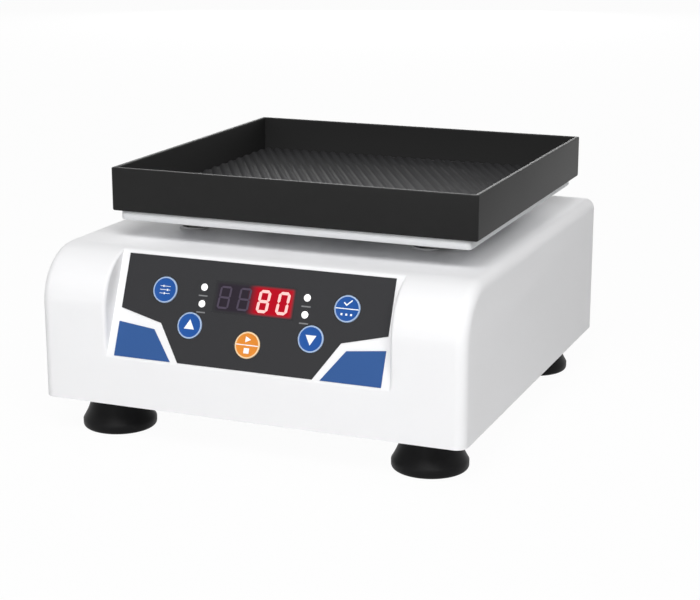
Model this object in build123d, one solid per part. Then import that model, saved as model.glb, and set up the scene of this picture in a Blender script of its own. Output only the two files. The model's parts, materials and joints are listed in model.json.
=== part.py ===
from build123d import *
import os
from math import cos, hypot, radians, sin, tan

os.makedirs("parts", exist_ok=True)

# An orbital shaker. Millimetres, +Z up, X to the right and -Y towards the user.
# The origin is on the floor, under the middle of the housing.

# Housing shell: a moulded cover, open below
housing_width = 275.0
housing_depth = 288.4
housing_height = 93.0
shell_wall = 3.0
edge_radius = 7.0
cheek_radius = 34.0

# Tilted panel facet between the two cheeks
facet_width = 184.0
facet_tilt = 22.8
facet_setback = 26.3
facet_top_radius = 3.0

# Feet
foot_height = 25.6
foot_flange_radius = 23.3
foot_top_radius = 17.3
foot_neck_height = 4.0
foot_rim_height = 5.0
foot_bottom_radius = 2.5
foot_inset_side = 32.8
foot_inset_front = 36.0
foot_inset_rear = 34.5
foot_counterbore_radius = 7.0
foot_counterbore_depth = 11.0

# Base plate and its screws
base_thickness = 2.0
base_gap = 0.4
lug_size = 13.0
lug_height = 14.0
lug_screw_spacing = 92.0
lug_hole_cap = 2.0
lug_screw_spare = 4.0
vent_slot_width = 3.5
vent_slot_length = 44.0
vent_slot_pitch = 9.0
vent_slot_count = 9

# Orbit and where the drive stands
orbit_radius = 10.0
drive_share = 0.0371
idler_inset_x = 57.5
idler_inset_y = 86.2

# Platform plate, tray and mat
tray_width = 238.9
tray_depth = 223.8
tray_height = 27.2
tray_wall = 3.0
tray_floor = 3.0
tray_corner_radius = 1.5
tray_rim_radius = 0.8
plate_inset_side = 4.7
plate_inset_front = 2.1
plate_inset_rear = 4.9
plate_thickness = 5.9
plate_gap = 12.6
plate_corner_radius = 3.0
tray_screw_share = 0.4
mat_gap = 0.6
mat_thickness = 1.5
rib_height = 1.3
rib_pitch = 6.35
rib_width = 3.6
rib_top_width = 1.8
rib_angle = 120.0

# Cranks: web between a shaft and a pin that stands off by the orbit radius
web_thickness = 5.4
web_clearance = 1.0
pin_end_gap = 0.6
main_web_radius = 13.0
idler_web_radius = 8.0
collar_height = 0.8
collar_width = 2.0
shaft_hole_clearance = 2.5

# Bearings, as bore radius, outside radius and width
main_bearing = (7.5, 16.0, 9.0)
pin_bearing = (6.0, 14.0, 8.0)
idler_bearing = (5.0, 11.0, 6.0)
bearing_fit = 0.02
running_fit = 0.05
open_pivot_clearance = 0.3
over = 1.0

# Drive frame, posts and bearing housings
tower_height = 13.6
frame_thickness = 6.0
frame_edge = 4.0
frame_corner_radius = 8.0
post_radius = 7.0
post_gap = 2.0
housing_wall = 5.0
housing_top_gap = 2.0
pocket_spare = 0.6
flange_width = 6.0
flange_thickness = 3.5
lower_housing_height = 18.0
idler_housing_drop = 6.0
housing_overlap = 2.0
idler_collar = (2.0, 3.0)
platform_boss_wall = 3.0

# Motor, pulleys and belt
motor_radius = 31.0
motor_rear_gap = 5.5
motor_lift = 5.4
motor_nose_radius = 12.0
motor_shaft_radius = 4.0
motor_screw_circle = 24.0
motor_screw_hold = 5.0
motor_hole_spare = 2.0
motor_bore_share = 0.33
bracket_thickness = 3.0
bracket_gap = 4.0
bracket_depth = 44.0
bracket_foot = 11.0
driven_drum_radius = 53.75
motor_drum_radius = 9.75
flange_rise = 2.2
flange_plate = 1.5
belt_width = 7.0
belt_thickness = 1.8
belt_side_gap = 0.5
belt_gap = 0.35
pulley_hub_radius = 15.0
pulley_gap = 4.0
counterweight_to_motor = 15.0
counterweight_thickness = 10.0
counterweight_gap = 3.0
counterweight_cut = 14.0

# Control panel, measured on the facet: across it and up it from its lower edge
film_margin = 1.2
film_thickness = 0.4
film_height = 63.7
film_half_width = 86.9
film_shoulder = (58.7, 22.9)
film_foot = 43.8
film_side_low = 29.8
corner_film_inner = (62.6, 18.7)
corner_film_side_high = 21.4
corner_film_foot = 48.8
key_radius = 8.05
key_travel = 0.4
key_gap = 0.3
key_proud = 0.2
key_depth = 1.1
key_stem_radius = 3.0
key_stem_length = 5.5
keys = {
    "key_set": (-59.4, 43.2),
    "key_up": (-39.5, 23.3),
    "key_run": (0.0, 15.5),
    "key_down": (39.5, 23.3),
    "key_memory": (59.4, 43.2),
}
lamp_radius = 2.6
lamp_proud = 0.3
lamp_gap = 0.3
lamp_across = 33.6
lamp_heights = (47.2, 37.1)
window_width = 52.0
window_height = 18.8
window_up = 42.5
window_ledge = 1.6
window_sink = 0.8
display_size = (50.3, 19.0, 7.8)

# Control board behind the facet
board_behind = 11.0
board_thickness = 1.6
board_width = 172.0
board_low = 4.0
board_high = 60.0
board_boss_radius = 3.5
board_boss_inset = 4.5
board_boss_hole = 1.3
switch_size = 6.0
switch_height = 3.2
switch_button_radius = 1.7
header_size = (20.0, 8.0, 6.0)
header_up = 22.0
ribbon_width = 16.0
ribbon_thickness = 1.0
ribbon_radius = 8.0

# Power board and transformer on the base plate
side_gap = 2.0
power_board_size = (66.0, 100.0)
power_board_lift = 6.0
power_board_back = 5.0
board_leg_radius = 3.0
board_leg_inset = 5.0
capacitor_sizes = ((20.0, 9.0, 16.0), (-6.0, 7.0, 14.0))
fin_count = 5
fin_size = (2.0, 33.0, 12.0)
fin_pitch = 4.0
transformer_size = (44.0, 40.0, 26.0)
transformer_core_share = 0.55
winding_share = (0.62, 0.68)
winding_radius = 4.0

# Rear panel behind a window in the rear wall
rear_window_width = 88.0
rear_window_height = 36.0
rear_window_inset = 63.5
rear_window_rise = 36.4
rear_panel_lap = 5.0
rear_panel_thickness = 2.0
inlet_across = 19.0
inlet_flange = (31.0, 24.0, 1.8)
inlet_body = (27.0, 20.0, 20.0)
inlet_socket = (23.6, 16.6, 16.0)
inlet_chamfer = 4.0
pin_blade = (2.0, 4.0, 14.0)
pin_spacing = 7.0
pin_rise = 2.0
switch_across = -25.0
bezel_size = (15.0, 23.0, 1.6)
switch_body_size = (13.4, 20.6, 15.0)
rocker_slot = (10.4, 18.4)
rocker_gap = 0.4
rocker_depth = 3.5
rocker_height = 5.0
rocker_dip = 0.8
rocker_tilt = 8.0
fuse_across = -6.0
fuse_cap_radius = 6.0
fuse_cap_height = 2.6
fuse_body_radius = 5.0
fuse_body_length = 24.0
fuse_slot = (8.4, 1.2, 1.0)
rear_vent_inset = 77.5
rear_vent_count = 10
rear_vent_pitch = 8.0
rear_vent_height = 32.0

# Screws, as thread radius and head radius
screw_gap = 0.15
base_screw = (1.5, 3.0)
foot_screw = (2.5, 4.6)
frame_screw = (2.0, 3.8)
motor_screw = (1.5, 2.8)
tray_screw = (1.8, 3.6)
small_screw = (1.2, 2.3)
screw_head_height = 2.2
foot_nut_height = 4.0
foot_nut_flats = 8.0
screw_end = 2.0

# Levels and places worked out from the sizes above
z_bottom = foot_height
z_top = z_bottom + housing_height
front = -housing_depth / 2
rear = housing_depth / 2
base_top = z_bottom + base_thickness
ceiling = z_top - shell_wall
housing_top = ceiling - housing_top_gap
frame_top = housing_top - tower_height
frame_bottom = frame_top - frame_thickness
motor_y = rear - shell_wall - rear_panel_thickness - motor_rear_gap - motor_radius
drive_y = housing_depth * drive_share
counterweight_radius = motor_y - drive_y - motor_radius - counterweight_to_motor
plate_width = tray_width - 2 * plate_inset_side
plate_depth = tray_depth - plate_inset_front - plate_inset_rear
idler_spacing_x = housing_width - 2 * idler_inset_x
idler_spacing_y = housing_depth - 2 * idler_inset_y
idler_outside = idler_bearing[1] + housing_wall - housing_overlap
idler_flange = idler_outside + flange_width
belt_low = frame_bottom - pulley_gap - flange_plate - belt_width - 2 * belt_side_gap
bracket_top = belt_low - flange_plate - bracket_gap
motor_height = bracket_top - bracket_thickness - motor_lift - base_top
motor_bore_low = bracket_top - bracket_thickness - motor_height * motor_bore_share
plate_bottom = z_top + plate_gap
plate_top = plate_bottom + plate_thickness
tray_x = orbit_radius
tray_y = drive_y
web_bottom = z_top + collar_height + web_clearance
web_top = web_bottom + web_thickness
boss_bottom = web_top + web_clearance + pocket_spare
crease_z = z_top - facet_setback / tan(radians(facet_tilt))
facet_length = facet_setback / sin(radians(facet_tilt))
facet = Plane(
    origin=(0, front, crease_z),
    x_dir=(1, 0, 0),
    z_dir=(0, -cos(radians(facet_tilt)), sin(radians(facet_tilt))),
)
panel = Plane(origin=facet.from_local_coords((0, film_margin, 0)), x_dir=facet.x_dir, z_dir=facet.z_dir)
foot_places = [
    (side * (housing_width / 2 - foot_inset_side), y)
    for y in (front + foot_inset_front, rear - foot_inset_rear)
    for side in (-1, 1)
]
foot_names = ["foot_front_left", "foot_front_right", "foot_rear_left", "foot_rear_right"]
idler_places = [
    (side * idler_spacing_x / 2, drive_y + way * idler_spacing_y / 2)
    for way in (-1, 1)
    for side in (-1, 1)
]
idler_names = ["idler_front_left", "idler_front_right", "idler_rear_left", "idler_rear_right"]
post_away = idler_spacing_y / 2 + idler_flange + post_gap + post_radius
post_places = [(side * idler_spacing_x / 2, drive_y + way * post_away) for way in (-1, 1) for side in (-1, 1)]
inside_x = housing_width / 2 - shell_wall - lug_size - side_gap
power_board_x = power_board_size[0] / 2 - inside_x
power_board_y = drive_y + power_board_back
power_header_y = power_board_y - power_board_size[1] / 2 + header_size[1]
transformer_x = inside_x - transformer_size[0] / 2
header_across = power_board_x + (power_board_size[0] - header_size[0]) / 2
rear_window_x = housing_width / 2 - rear_window_inset
rear_window_z = z_bottom + rear_window_rise
rear_vent_x = rear_vent_inset - housing_width / 2
inlet_x = rear_window_x + inlet_across
switch_x = rear_window_x + switch_across
fuse_x = rear_window_x + fuse_across
lug_places = [
    (side * (housing_width / 2 - shell_wall - lug_size / 2), row * lug_screw_spacing)
    for row in (-1, 0, 1)
    for side in (-1, 1)
]
plate_y = tray_y + (plate_inset_front - plate_inset_rear) / 2
tray_screw_places = [
    (tray_x + sx * plate_width * tray_screw_share, plate_y + sy * plate_depth * tray_screw_share)
    for sx in (-1, 1)
    for sy in (-1, 1)
]
motor_screw_reach = motor_screw_circle * cos(radians(45))
motor_screw_places = [
    (sx * motor_screw_reach, motor_y + sy * motor_screw_reach) for sx in (-1, 1) for sy in (-1, 1)
]
board_boss_places = [
    (side * (board_width / 2 - board_boss_inset), up)
    for up in (board_low + board_boss_inset, board_high - board_boss_inset)
    for side in (-1, 1)
]
rear_screw_places = [
    (rear_window_x + side * (rear_window_width / 2 + rear_panel_lap), rear_window_z) for side in (-1, 1)
]
pin_top = boss_bottom + pocket_spare + pin_bearing[2] - pin_end_gap
idler_pin_top = boss_bottom + pocket_spare + idler_bearing[2] - pin_end_gap


def cylinder(radius, low, high, x=0.0, y=0.0):
    """An upright cylinder between two heights."""
    return Pos(x, y, (low + high) / 2) * Cylinder(radius, high - low)


def ring(inner, outer, low, high, x=0.0, y=0.0):
    """An upright tube between two heights."""
    return cylinder(outer, low, high, x, y) - cylinder(inner, low - over, high + over, x, y)


def block(size_x, size_y, low, high, x=0.0, y=0.0):
    """An upright block between two heights."""
    return Pos(x, y, (low + high) / 2) * Box(size_x, size_y, high - low)


def rounded_block(size_x, size_y, low, high, radius, x=0.0, y=0.0):
    """A block with rounded upright corners."""
    outline = RectangleRounded(size_x, size_y, radius)
    return extrude(Pos(x, y, low) * outline, high - low)


def on_panel(across, up, out=0.0):
    """A place on the panel, measured from the middle of the film's lower edge."""
    return panel * Pos(across, up, out)


def panel_peg(radius, low, high, across, up):
    """A round peg standing square to the panel, between two depths."""
    return on_panel(across, up, (low + high) / 2) * Cylinder(radius, high - low)


def panel_block(size_x, size_y, low, high, across, up):
    """A block standing square to the panel, between two depths."""
    return on_panel(across, up, (low + high) / 2) * Box(size_x, size_y, high - low)


def bearing(sizes, low, x, y):
    """A shielded ball bearing as one closed ring."""
    bore, outside, width = sizes
    return ring(bore, outside, low, low + width, x, y)


def cap_screw(sizes, seat, length, x, y, up=True):
    """A screw with a round head: the head stands on the seat, up or down."""
    way = 1 if up else -1
    end = seat - way * length
    thread = cylinder(sizes[0], min(seat, end), max(seat, end), x, y)
    crown = seat + way * screw_head_height
    return thread + cylinder(sizes[1], min(seat, crown), max(seat, crown), x, y)


def group(solids):
    """Several separate solids kept in one node."""
    return Compound(children=[s for s in solids])


def screws(sizes, seat, length, places, up=True):
    return group([cap_screw(sizes, seat, length, x, y, up) for x, y in places])


# Housing


def housing_block(inset):
    """The housing's outer form with each face moved in by inset."""
    y_front, y_rear, top = front + inset, rear - inset, z_top - inset
    low = z_bottom - (over if inset else 0.0)
    arc = cheek_radius - inset
    half = housing_width / 2 - inset
    rounding = edge_radius - inset
    outline = Polyline((y_front, top - arc), (y_front, low), (y_rear, low), (y_rear, top), (y_front + arc, top))
    outline += RadiusArc((y_front + arc, top), (y_front, top - arc), -arc)
    body = extrude(Plane.YZ * make_face(outline), half, both=True)
    above_foot = [e for e in body.edges() if abs(e.center().Z - low) > 0.1]
    on_side = [e for e in above_foot if abs(abs(e.center().X) - half) < 0.1]
    on_rear = [e for e in above_foot if abs(e.center().Y - y_rear) < 0.1 and e not in on_side]
    body = fillet(on_side + on_rear, rounding)
    reach = 2 * cheek_radius
    cut_plane = facet * Pos(0, 0, -inset)
    cutter = Box(facet_width + 2 * inset, facet_length + reach, reach)
    return body - cut_plane * Pos(0, facet_length / 2, reach / 2) * cutter


def make_housing_shell():
    outer = housing_block(0)
    facet_edges = [e for e in outer.edges().filter_by(Axis.X) if abs(e.length - facet_width) < 0.1]
    facet_top = facet_edges[0] if facet_edges[0].center().Z > facet_edges[-1].center().Z else facet_edges[-1]
    outer = fillet(facet_top, facet_top_radius)
    shell = outer - housing_block(shell_wall)

    for x, y in lug_places:
        lug = block(lug_size, lug_size, base_top, base_top + lug_height, x, y)
        shell += lug
        hole_top = base_top + lug_height - lug_hole_cap
        shell -= cylinder(base_screw[0] + screw_gap, base_top - over, hole_top, x, y)

    holes = [(0, drive_y, main_bearing[0] + shaft_hole_clearance)]
    holes += [(x, y, idler_bearing[0] + shaft_hole_clearance) for x, y in idler_places]
    for x, y, radius in holes:
        shell += cylinder(radius + collar_width, z_top, z_top + collar_height, x, y)
        shell -= cylinder(radius, ceiling - over, z_top + collar_height + over, x, y)

    for across, up in keys.values():
        shell -= panel_peg(key_radius + key_gap, -key_depth - key_travel - key_gap, over, across, up)
        shell -= panel_peg(key_stem_radius + key_gap, -2 * shell_wall, over, across, up)
    for side in (-1, 1):
        for up in lamp_heights:
            shell -= panel_peg(lamp_radius + lamp_gap, -2 * shell_wall, over, side * lamp_across, up)
    hole_x, hole_z = window_width + 2 * base_gap, window_height + 2 * base_gap
    shell -= panel_block(hole_x, hole_z, -window_sink, over, 0, window_up)
    shell -= panel_block(
        window_width - 2 * window_ledge, window_height - 2 * window_ledge, -2 * shell_wall, 1, 0, window_up
    )
    for across, up in board_boss_places:
        boss = panel_peg(board_boss_radius, -board_behind, -shell_wall / 2, across, up)
        shell += boss - panel_peg(board_boss_hole, -board_behind - over, -shell_wall - over, across, up)

    shell -= Pos(rear_window_x, rear, rear_window_z) * Box(rear_window_width, 3 * shell_wall, rear_window_height)
    for i in range(rear_vent_count):
        x = rear_vent_x + (i - (rear_vent_count - 1) / 2) * rear_vent_pitch
        slot = Pos(x, rear, rear_window_z) * Rot(90, 0, 0) * Rot(0, 0, 90) * extrude(
            SlotOverall(rear_vent_height, vent_slot_width), shell_wall * 1.5, both=True
        )
        shell -= slot
    for x, z in rear_screw_places:
        shell -= Pos(x, rear, z) * Rot(90, 0, 0) * Cylinder(small_screw[0] + screw_gap, 3 * shell_wall)
    return shell


def make_base_plate():
    size_x = housing_width - 2 * shell_wall - 2 * base_gap
    size_y = housing_depth - 2 * shell_wall - 2 * base_gap
    plate = rounded_block(size_x, size_y, z_bottom, base_top, edge_radius - shell_wall)
    for x, y in lug_places:
        plate -= cylinder(base_screw[0] + screw_gap, z_bottom - over, base_top + over, x, y)
    for x, y in foot_places:
        plate -= cylinder(foot_screw[0] + screw_gap, z_bottom - over, base_top + over, x, y)
    for side in (-1, 1):
        for i in range(vent_slot_count):
            y = drive_y + (i - (vent_slot_count - 1) / 2) * vent_slot_pitch
            slot = extrude(SlotOverall(vent_slot_length, vent_slot_width), base_thickness + 2 * over)
            plate -= Pos(side * idler_spacing_x / 2, y, z_bottom - over) * slot
    return plate


def make_foot(x, y):
    """A rubber foot turned about its screw: neck, flared cone, rim and a sunk seat for the screw."""
    bore = foot_screw[0] + screw_gap
    outline = Polyline(
        (bore, foot_height),
        (bore, foot_counterbore_depth),
        (foot_counterbore_radius, foot_counterbore_depth),
        (foot_counterbore_radius, 0),
        (foot_flange_radius - foot_bottom_radius, 0),
    )
    flat_end = (foot_flange_radius - foot_bottom_radius, 0)
    outline += RadiusArc(flat_end, (foot_flange_radius, foot_bottom_radius), -foot_bottom_radius)
    outline += Polyline(
        (foot_flange_radius, foot_bottom_radius),
        (foot_flange_radius, foot_rim_height),
        (foot_top_radius, foot_height - foot_neck_height),
        (foot_top_radius, foot_height),
        (bore, foot_height),
    )
    return Pos(x, y, 0) * revolve(Plane.XZ * make_face(outline), Axis.Z)


def make_foot_screw(x, y):
    nut = extrude(RegularPolygon(foot_nut_flats / 2, 6, major_radius=False), foot_nut_height)
    nut = Pos(x, y, base_top) * nut
    top = base_top + foot_nut_height + screw_end
    thread = cylinder(foot_screw[0], foot_counterbore_depth, top, x, y)
    head = cylinder(foot_screw[1], foot_counterbore_depth - screw_head_height, foot_counterbore_depth, x, y)
    return nut + thread + head


# Drive


def make_drive_frame():
    size_x = idler_spacing_x + 2 * (idler_flange + frame_edge)
    size_y = 2 * (post_away + post_radius + frame_edge)
    plate = rounded_block(size_x, size_y, frame_bottom, frame_top, frame_corner_radius, 0, drive_y)
    plate -= cylinder(main_bearing[0] + shaft_hole_clearance, frame_bottom - over, frame_top + over, 0, drive_y)
    for x, y in idler_places:
        plate -= cylinder(idler_outside + bearing_fit, frame_bottom - over, frame_top + over, x, y)
    for x, y in post_places:
        plate -= cylinder(frame_screw[0] + screw_gap, frame_bottom - over, frame_top + over, x, y)
    return plate


def make_frame_post(x, y):
    depth = 4 * frame_screw[0]
    return cylinder(post_radius, base_top, frame_bottom, x, y) - cylinder(
        frame_screw[0] + screw_gap, frame_bottom - depth - over, frame_bottom + over, x, y
    )


def make_lower_housing():
    bore, outside, width = main_bearing
    top = base_top + lower_housing_height
    body = cylinder(outside + housing_wall, base_top, top, 0, drive_y)
    body += cylinder(outside + housing_wall + flange_width, base_top, base_top + flange_thickness, 0, drive_y)
    body -= cylinder(outside + bearing_fit, top - width - pocket_spare, top + over, 0, drive_y)
    body -= cylinder(bore + shaft_hole_clearance, base_top + base_thickness, top, 0, drive_y)
    return body


def make_upper_housing():
    bore, outside, width = main_bearing
    body = cylinder(outside + housing_wall, frame_top, housing_top, 0, drive_y)
    body += cylinder(outside + housing_wall + flange_width, frame_top, frame_top + flange_thickness, 0, drive_y)
    pocket_low = housing_top - width - pocket_spare
    body -= cylinder(outside + bearing_fit, pocket_low, housing_top + over, 0, drive_y)
    body -= cylinder(bore + shaft_hole_clearance, frame_top - over, housing_top, 0, drive_y)
    return body


def make_idler_housing(x, y):
    bore, outside, width = idler_bearing
    low = frame_bottom - idler_housing_drop
    body = cylinder(idler_outside, low, housing_top, x, y)
    body += cylinder(idler_outside + flange_width, frame_top, frame_top + flange_thickness, x, y)
    body -= cylinder(bore + shaft_hole_clearance, low - over, housing_top + over, x, y)
    for z in (low, housing_top - width - pocket_spare):
        body -= cylinder(outside + bearing_fit, z - 0.001, z + width + pocket_spare, x, y)
    return body


def crank_web(radius, x, y):
    """A flat link, round at both ends, from the shaft to the pin."""
    middle = Pos(x + orbit_radius / 2, y, web_bottom)
    return middle * extrude(SlotCenterToCenter(orbit_radius, 2 * radius), web_thickness)


def make_crank_shaft():
    low = base_top + lower_housing_height - main_bearing[2] - pocket_spare - screw_end
    shaft = cylinder(main_bearing[0] - running_fit, low, web_bottom, 0, drive_y)
    pin = cylinder(pin_bearing[0] - running_fit, web_top, pin_top, orbit_radius, drive_y)
    return shaft + crank_web(main_web_radius, 0, drive_y) + pin


def make_idler_crank(x, y):
    low = frame_bottom - idler_housing_drop
    shaft = cylinder(idler_bearing[0] - running_fit, low - web_clearance, web_bottom, x, y)
    wide, tall = idler_collar
    end = low - web_clearance
    collar = cylinder(idler_bearing[0] + wide, end - tall, end, x, y)
    pin = cylinder(idler_bearing[0] - open_pivot_clearance, web_top, idler_pin_top, x + orbit_radius, y)
    return shaft + collar + crank_web(idler_web_radius, x, y) + pin


def pulley(drum, x, y, bore, low):
    """A flat belt pulley: a drum between two thin flanges."""
    high = low + belt_width + 2 * belt_side_gap
    body = cylinder(drum, low, high, x, y)
    body += cylinder(drum + flange_rise, low - flange_plate, low, x, y)
    body += cylinder(drum + flange_rise, high, high + flange_plate, x, y)
    return body - cylinder(bore, low - flange_plate - over, high + flange_plate + over, x, y)


def make_driven_pulley():
    bore = main_bearing[0] - running_fit + bearing_fit
    hub_top = belt_low - flange_plate
    hub = ring(bore, pulley_hub_radius, hub_top - pulley_gap, hub_top, 0, drive_y)
    return pulley(driven_drum_radius, 0, drive_y, bore, belt_low) + hub


def make_counterweight():
    """A half disc of steel on a hub, opposite the eccentric pin."""
    low = base_top + lower_housing_height + counterweight_gap
    top = low + counterweight_thickness
    half = cylinder(counterweight_radius, low, top, 0, drive_y)
    reach = 4 * counterweight_radius
    half -= block(reach, reach, low - over, top + over, reach / 2 - counterweight_cut, drive_y)
    hub = cylinder(pulley_hub_radius, low, top, 0, drive_y)
    bore = main_bearing[0] - running_fit + bearing_fit
    return half + hub - cylinder(bore, low - over, top + over, 0, drive_y)


def make_motor_body():
    top = bracket_top - bracket_thickness
    body = cylinder(motor_radius, top - motor_height, top, 0, motor_y)
    body += cylinder(motor_nose_radius, top, bracket_top, 0, motor_y)
    body -= cylinder(motor_shaft_radius + running_fit, motor_bore_low, bracket_top + over, 0, motor_y)
    for x, y in motor_screw_places:
        hole_low = top - motor_screw_hold - motor_hole_spare
        body -= cylinder(motor_screw[0] + screw_gap, hole_low, top + over, x, y)
    return body


def make_motor_bracket():
    """A hat-shaped bracket: a bridge over the motor on two legs with turned-out feet."""
    half = motor_radius + 2 * bracket_thickness
    low, high, t = base_top, bracket_top, bracket_thickness
    outline = Polyline(
        (-half - bracket_foot, low),
        (-half + t, low),
        (-half + t, high - t),
        (half - t, high - t),
        (half - t, low),
        (half + bracket_foot, low),
        (half + bracket_foot, low + t),
        (half, low + t),
        (half, high),
        (-half, high),
        (-half, low + t),
        (-half - bracket_foot, low + t),
        close=True,
    )
    bracket = Pos(0, motor_y, 0) * extrude(Plane.XZ * make_face(outline), bracket_depth / 2, both=True)
    bracket -= cylinder(motor_nose_radius + bearing_fit, high - t - over, high + over, 0, motor_y)
    for x, y in motor_screw_places:
        bracket -= cylinder(motor_screw[0] + screw_gap, high - t - over, high + over, x, y)
    return bracket


def make_motor_shaft():
    top = belt_low + belt_width + 3 * flange_plate
    return cylinder(motor_shaft_radius, motor_bore_low + motor_hole_spare, top, 0, motor_y)


def make_motor_pulley():
    return pulley(motor_drum_radius, 0, motor_y, motor_shaft_radius + bearing_fit, belt_low)


def belt_outline(grow):
    """The outline round both pulleys, as far outside their drums as grow says."""
    big = Pos(0, drive_y) * CenterArc((0, 0), driven_drum_radius + grow, 0, 360)
    small = Pos(0, motor_y) * CenterArc((0, 0), motor_drum_radius + grow, 0, 360)
    return make_hull([big.edges()[0], small.edges()[0]])


def make_drive_belt():
    loop = belt_outline(belt_gap + belt_thickness) - belt_outline(belt_gap)
    return Pos(0, 0, belt_low + belt_side_gap) * extrude(loop, belt_width)


# Platform


def make_platform_plate():
    plate = rounded_block(plate_width, plate_depth, plate_bottom, plate_top, plate_corner_radius, tray_x, plate_y)
    seats = [(tray_x, tray_y, pin_bearing)] + [(x + orbit_radius, y, idler_bearing) for x, y in idler_places]
    for x, y, sizes in seats:
        plate += cylinder(sizes[1] + platform_boss_wall, boss_bottom, plate_bottom + over, x, y)
    for x, y, sizes in seats:
        plate -= cylinder(sizes[1] + bearing_fit, boss_bottom - over, boss_bottom + sizes[2] + pocket_spare, x, y)
    for x, y in tray_screw_places:
        plate -= cylinder(tray_screw[0] + screw_gap, plate_bottom - over, plate_top + over, x, y)
    return plate


def make_platform_bearings():
    rings = [bearing(pin_bearing, boss_bottom + pocket_spare, tray_x, tray_y)]
    rings += [bearing(idler_bearing, boss_bottom + pocket_spare, x + orbit_radius, y) for x, y in idler_places]
    return group(rings)


def make_tray():
    low, high = plate_top, plate_top + tray_height
    tray = rounded_block(tray_width, tray_depth, low, high, tray_corner_radius, tray_x, tray_y)
    inner_x, inner_y = tray_width - 2 * tray_wall, tray_depth - 2 * tray_wall
    tray -= block(inner_x, inner_y, low + tray_floor, high + over, tray_x, tray_y)
    rim = [e for e in tray.edges() if abs(e.center().Z - high) < 0.01]
    tray = fillet(rim, tray_rim_radius)
    for x, y in tray_screw_places:
        tray -= cylinder(tray_screw[0] + screw_gap, low - over, low + tray_floor - over / 2, x, y)
    return tray


def make_tray_mat():
    """A rubber sheet with slanting ribs, cut to the inside of the tray."""
    size_x = tray_width - 2 * tray_wall - 2 * mat_gap
    size_y = tray_depth - 2 * tray_wall - 2 * mat_gap
    low = plate_top + tray_floor
    top = low + mat_thickness
    sheet = block(size_x, size_y, low, top, tray_x, tray_y)
    across = radians(rib_angle - 90)
    reach = size_x * abs(cos(across)) + size_y * abs(sin(across))
    count = int(reach / 2 / rib_pitch)
    profile = Polyline(
        (-rib_width / 2, 0),
        (rib_width / 2, 0),
        (rib_top_width / 2, rib_height),
        (-rib_top_width / 2, rib_height),
        close=True,
    )
    length = hypot(size_x, size_y)
    rib = extrude(Plane.XZ * make_face(profile), length / 2, both=True)
    turn = Pos(tray_x, tray_y, top) * Rot(0, 0, rib_angle - 90)
    ribs = [turn * Pos(i * rib_pitch, 0, 0) * rib for i in range(-count, count + 1)]
    field = block(size_x, size_y, top, top + rib_height, tray_x, tray_y)
    pieces = [piece for r in ribs for piece in (r & field).solids()]
    return sheet.fuse(*pieces)


def make_tray_screws():
    length = plate_thickness + tray_floor - over
    return screws(tray_screw, plate_bottom, length, tray_screw_places, up=False)


# Control panel


def panel_face(points, low, high):
    outline = Polyline(*points, close=True)
    return panel * Pos(0, 0, low) * extrude(make_face(outline), high - low)


def make_panel_film():
    """The dark field: full width above, stepping in to a narrow foot."""
    right = [
        (film_half_width, film_height),
        (film_half_width, film_side_low),
        film_shoulder,
        (film_foot, 0),
    ]
    left = [(-across, up) for across, up in reversed(right)]
    film = panel_face(right + left, 0, film_thickness)
    for across, up in keys.values():
        film -= panel_peg(key_radius + key_gap, -over, over, across, up)
    for side in (-1, 1):
        for up in lamp_heights:
            film -= panel_peg(lamp_radius + lamp_gap, -over, over, side * lamp_across, up)
    hole_x, hole_z = window_width + 2 * base_gap, window_height + 2 * base_gap
    return film - panel_block(hole_x, hole_z, -over, over, 0, window_up)


def make_corner_films():
    right = [
        (film_half_width, 0),
        (film_half_width, corner_film_side_high),
        corner_film_inner,
        (corner_film_foot, 0),
    ]
    left = [(-across, up) for across, up in reversed(right)]
    return group([panel_face(points, 0, film_thickness) for points in (right, left)])


def make_display_window():
    return panel_block(window_width, window_height, -window_sink, film_thickness, 0, window_up)


def make_display_module():
    size_x, size_y, height = display_size
    return panel_block(size_x, size_y, -board_behind, -board_behind + height, 0, window_up)


def make_indicator_lamps():
    places = [(side * lamp_across, up) for side in (-1, 1) for up in lamp_heights]
    return group([panel_peg(lamp_radius, -board_behind, film_thickness + lamp_proud, *place) for place in places])


def make_key(across, up):
    """A flat round key with a stem that reaches to the switch behind it."""
    cap = panel_peg(key_radius, -key_depth, film_thickness + key_proud, across, up)
    stem = panel_peg(key_stem_radius, -key_depth - key_stem_length, -key_depth, across, up)
    return cap + stem


def make_key_switches():
    switches = []
    for across, up in keys.values():
        base = panel_block(switch_size, switch_size, -board_behind, -board_behind + switch_height, across, up)
        top = -key_depth - key_stem_length - key_travel - 2 * screw_gap
        button = panel_peg(switch_button_radius, -board_behind + switch_height, top, across, up)
        switches.append(base + button)
    return group(switches)


def make_control_board():
    middle = (board_low + board_high) / 2
    back = -board_behind - board_thickness
    board = panel_block(board_width, board_high - board_low, back, -board_behind, 0, middle)
    for across, up in board_boss_places:
        board -= panel_peg(board_boss_hole + screw_gap, back - over, -board_behind + over, across, up)
    long, wide, tall = header_size
    return board + panel_block(long, wide, back - tall, back, header_across, header_up)


def make_board_screws():
    back = -board_behind - board_thickness
    pegs = []
    for across, up in board_boss_places:
        thread = panel_peg(board_boss_hole - screw_gap / 2, back, -shell_wall - screw_end, across, up)
        pegs.append(thread + panel_peg(small_screw[1], back - screw_head_height / 2, back, across, up))
    return group(pegs)


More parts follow.
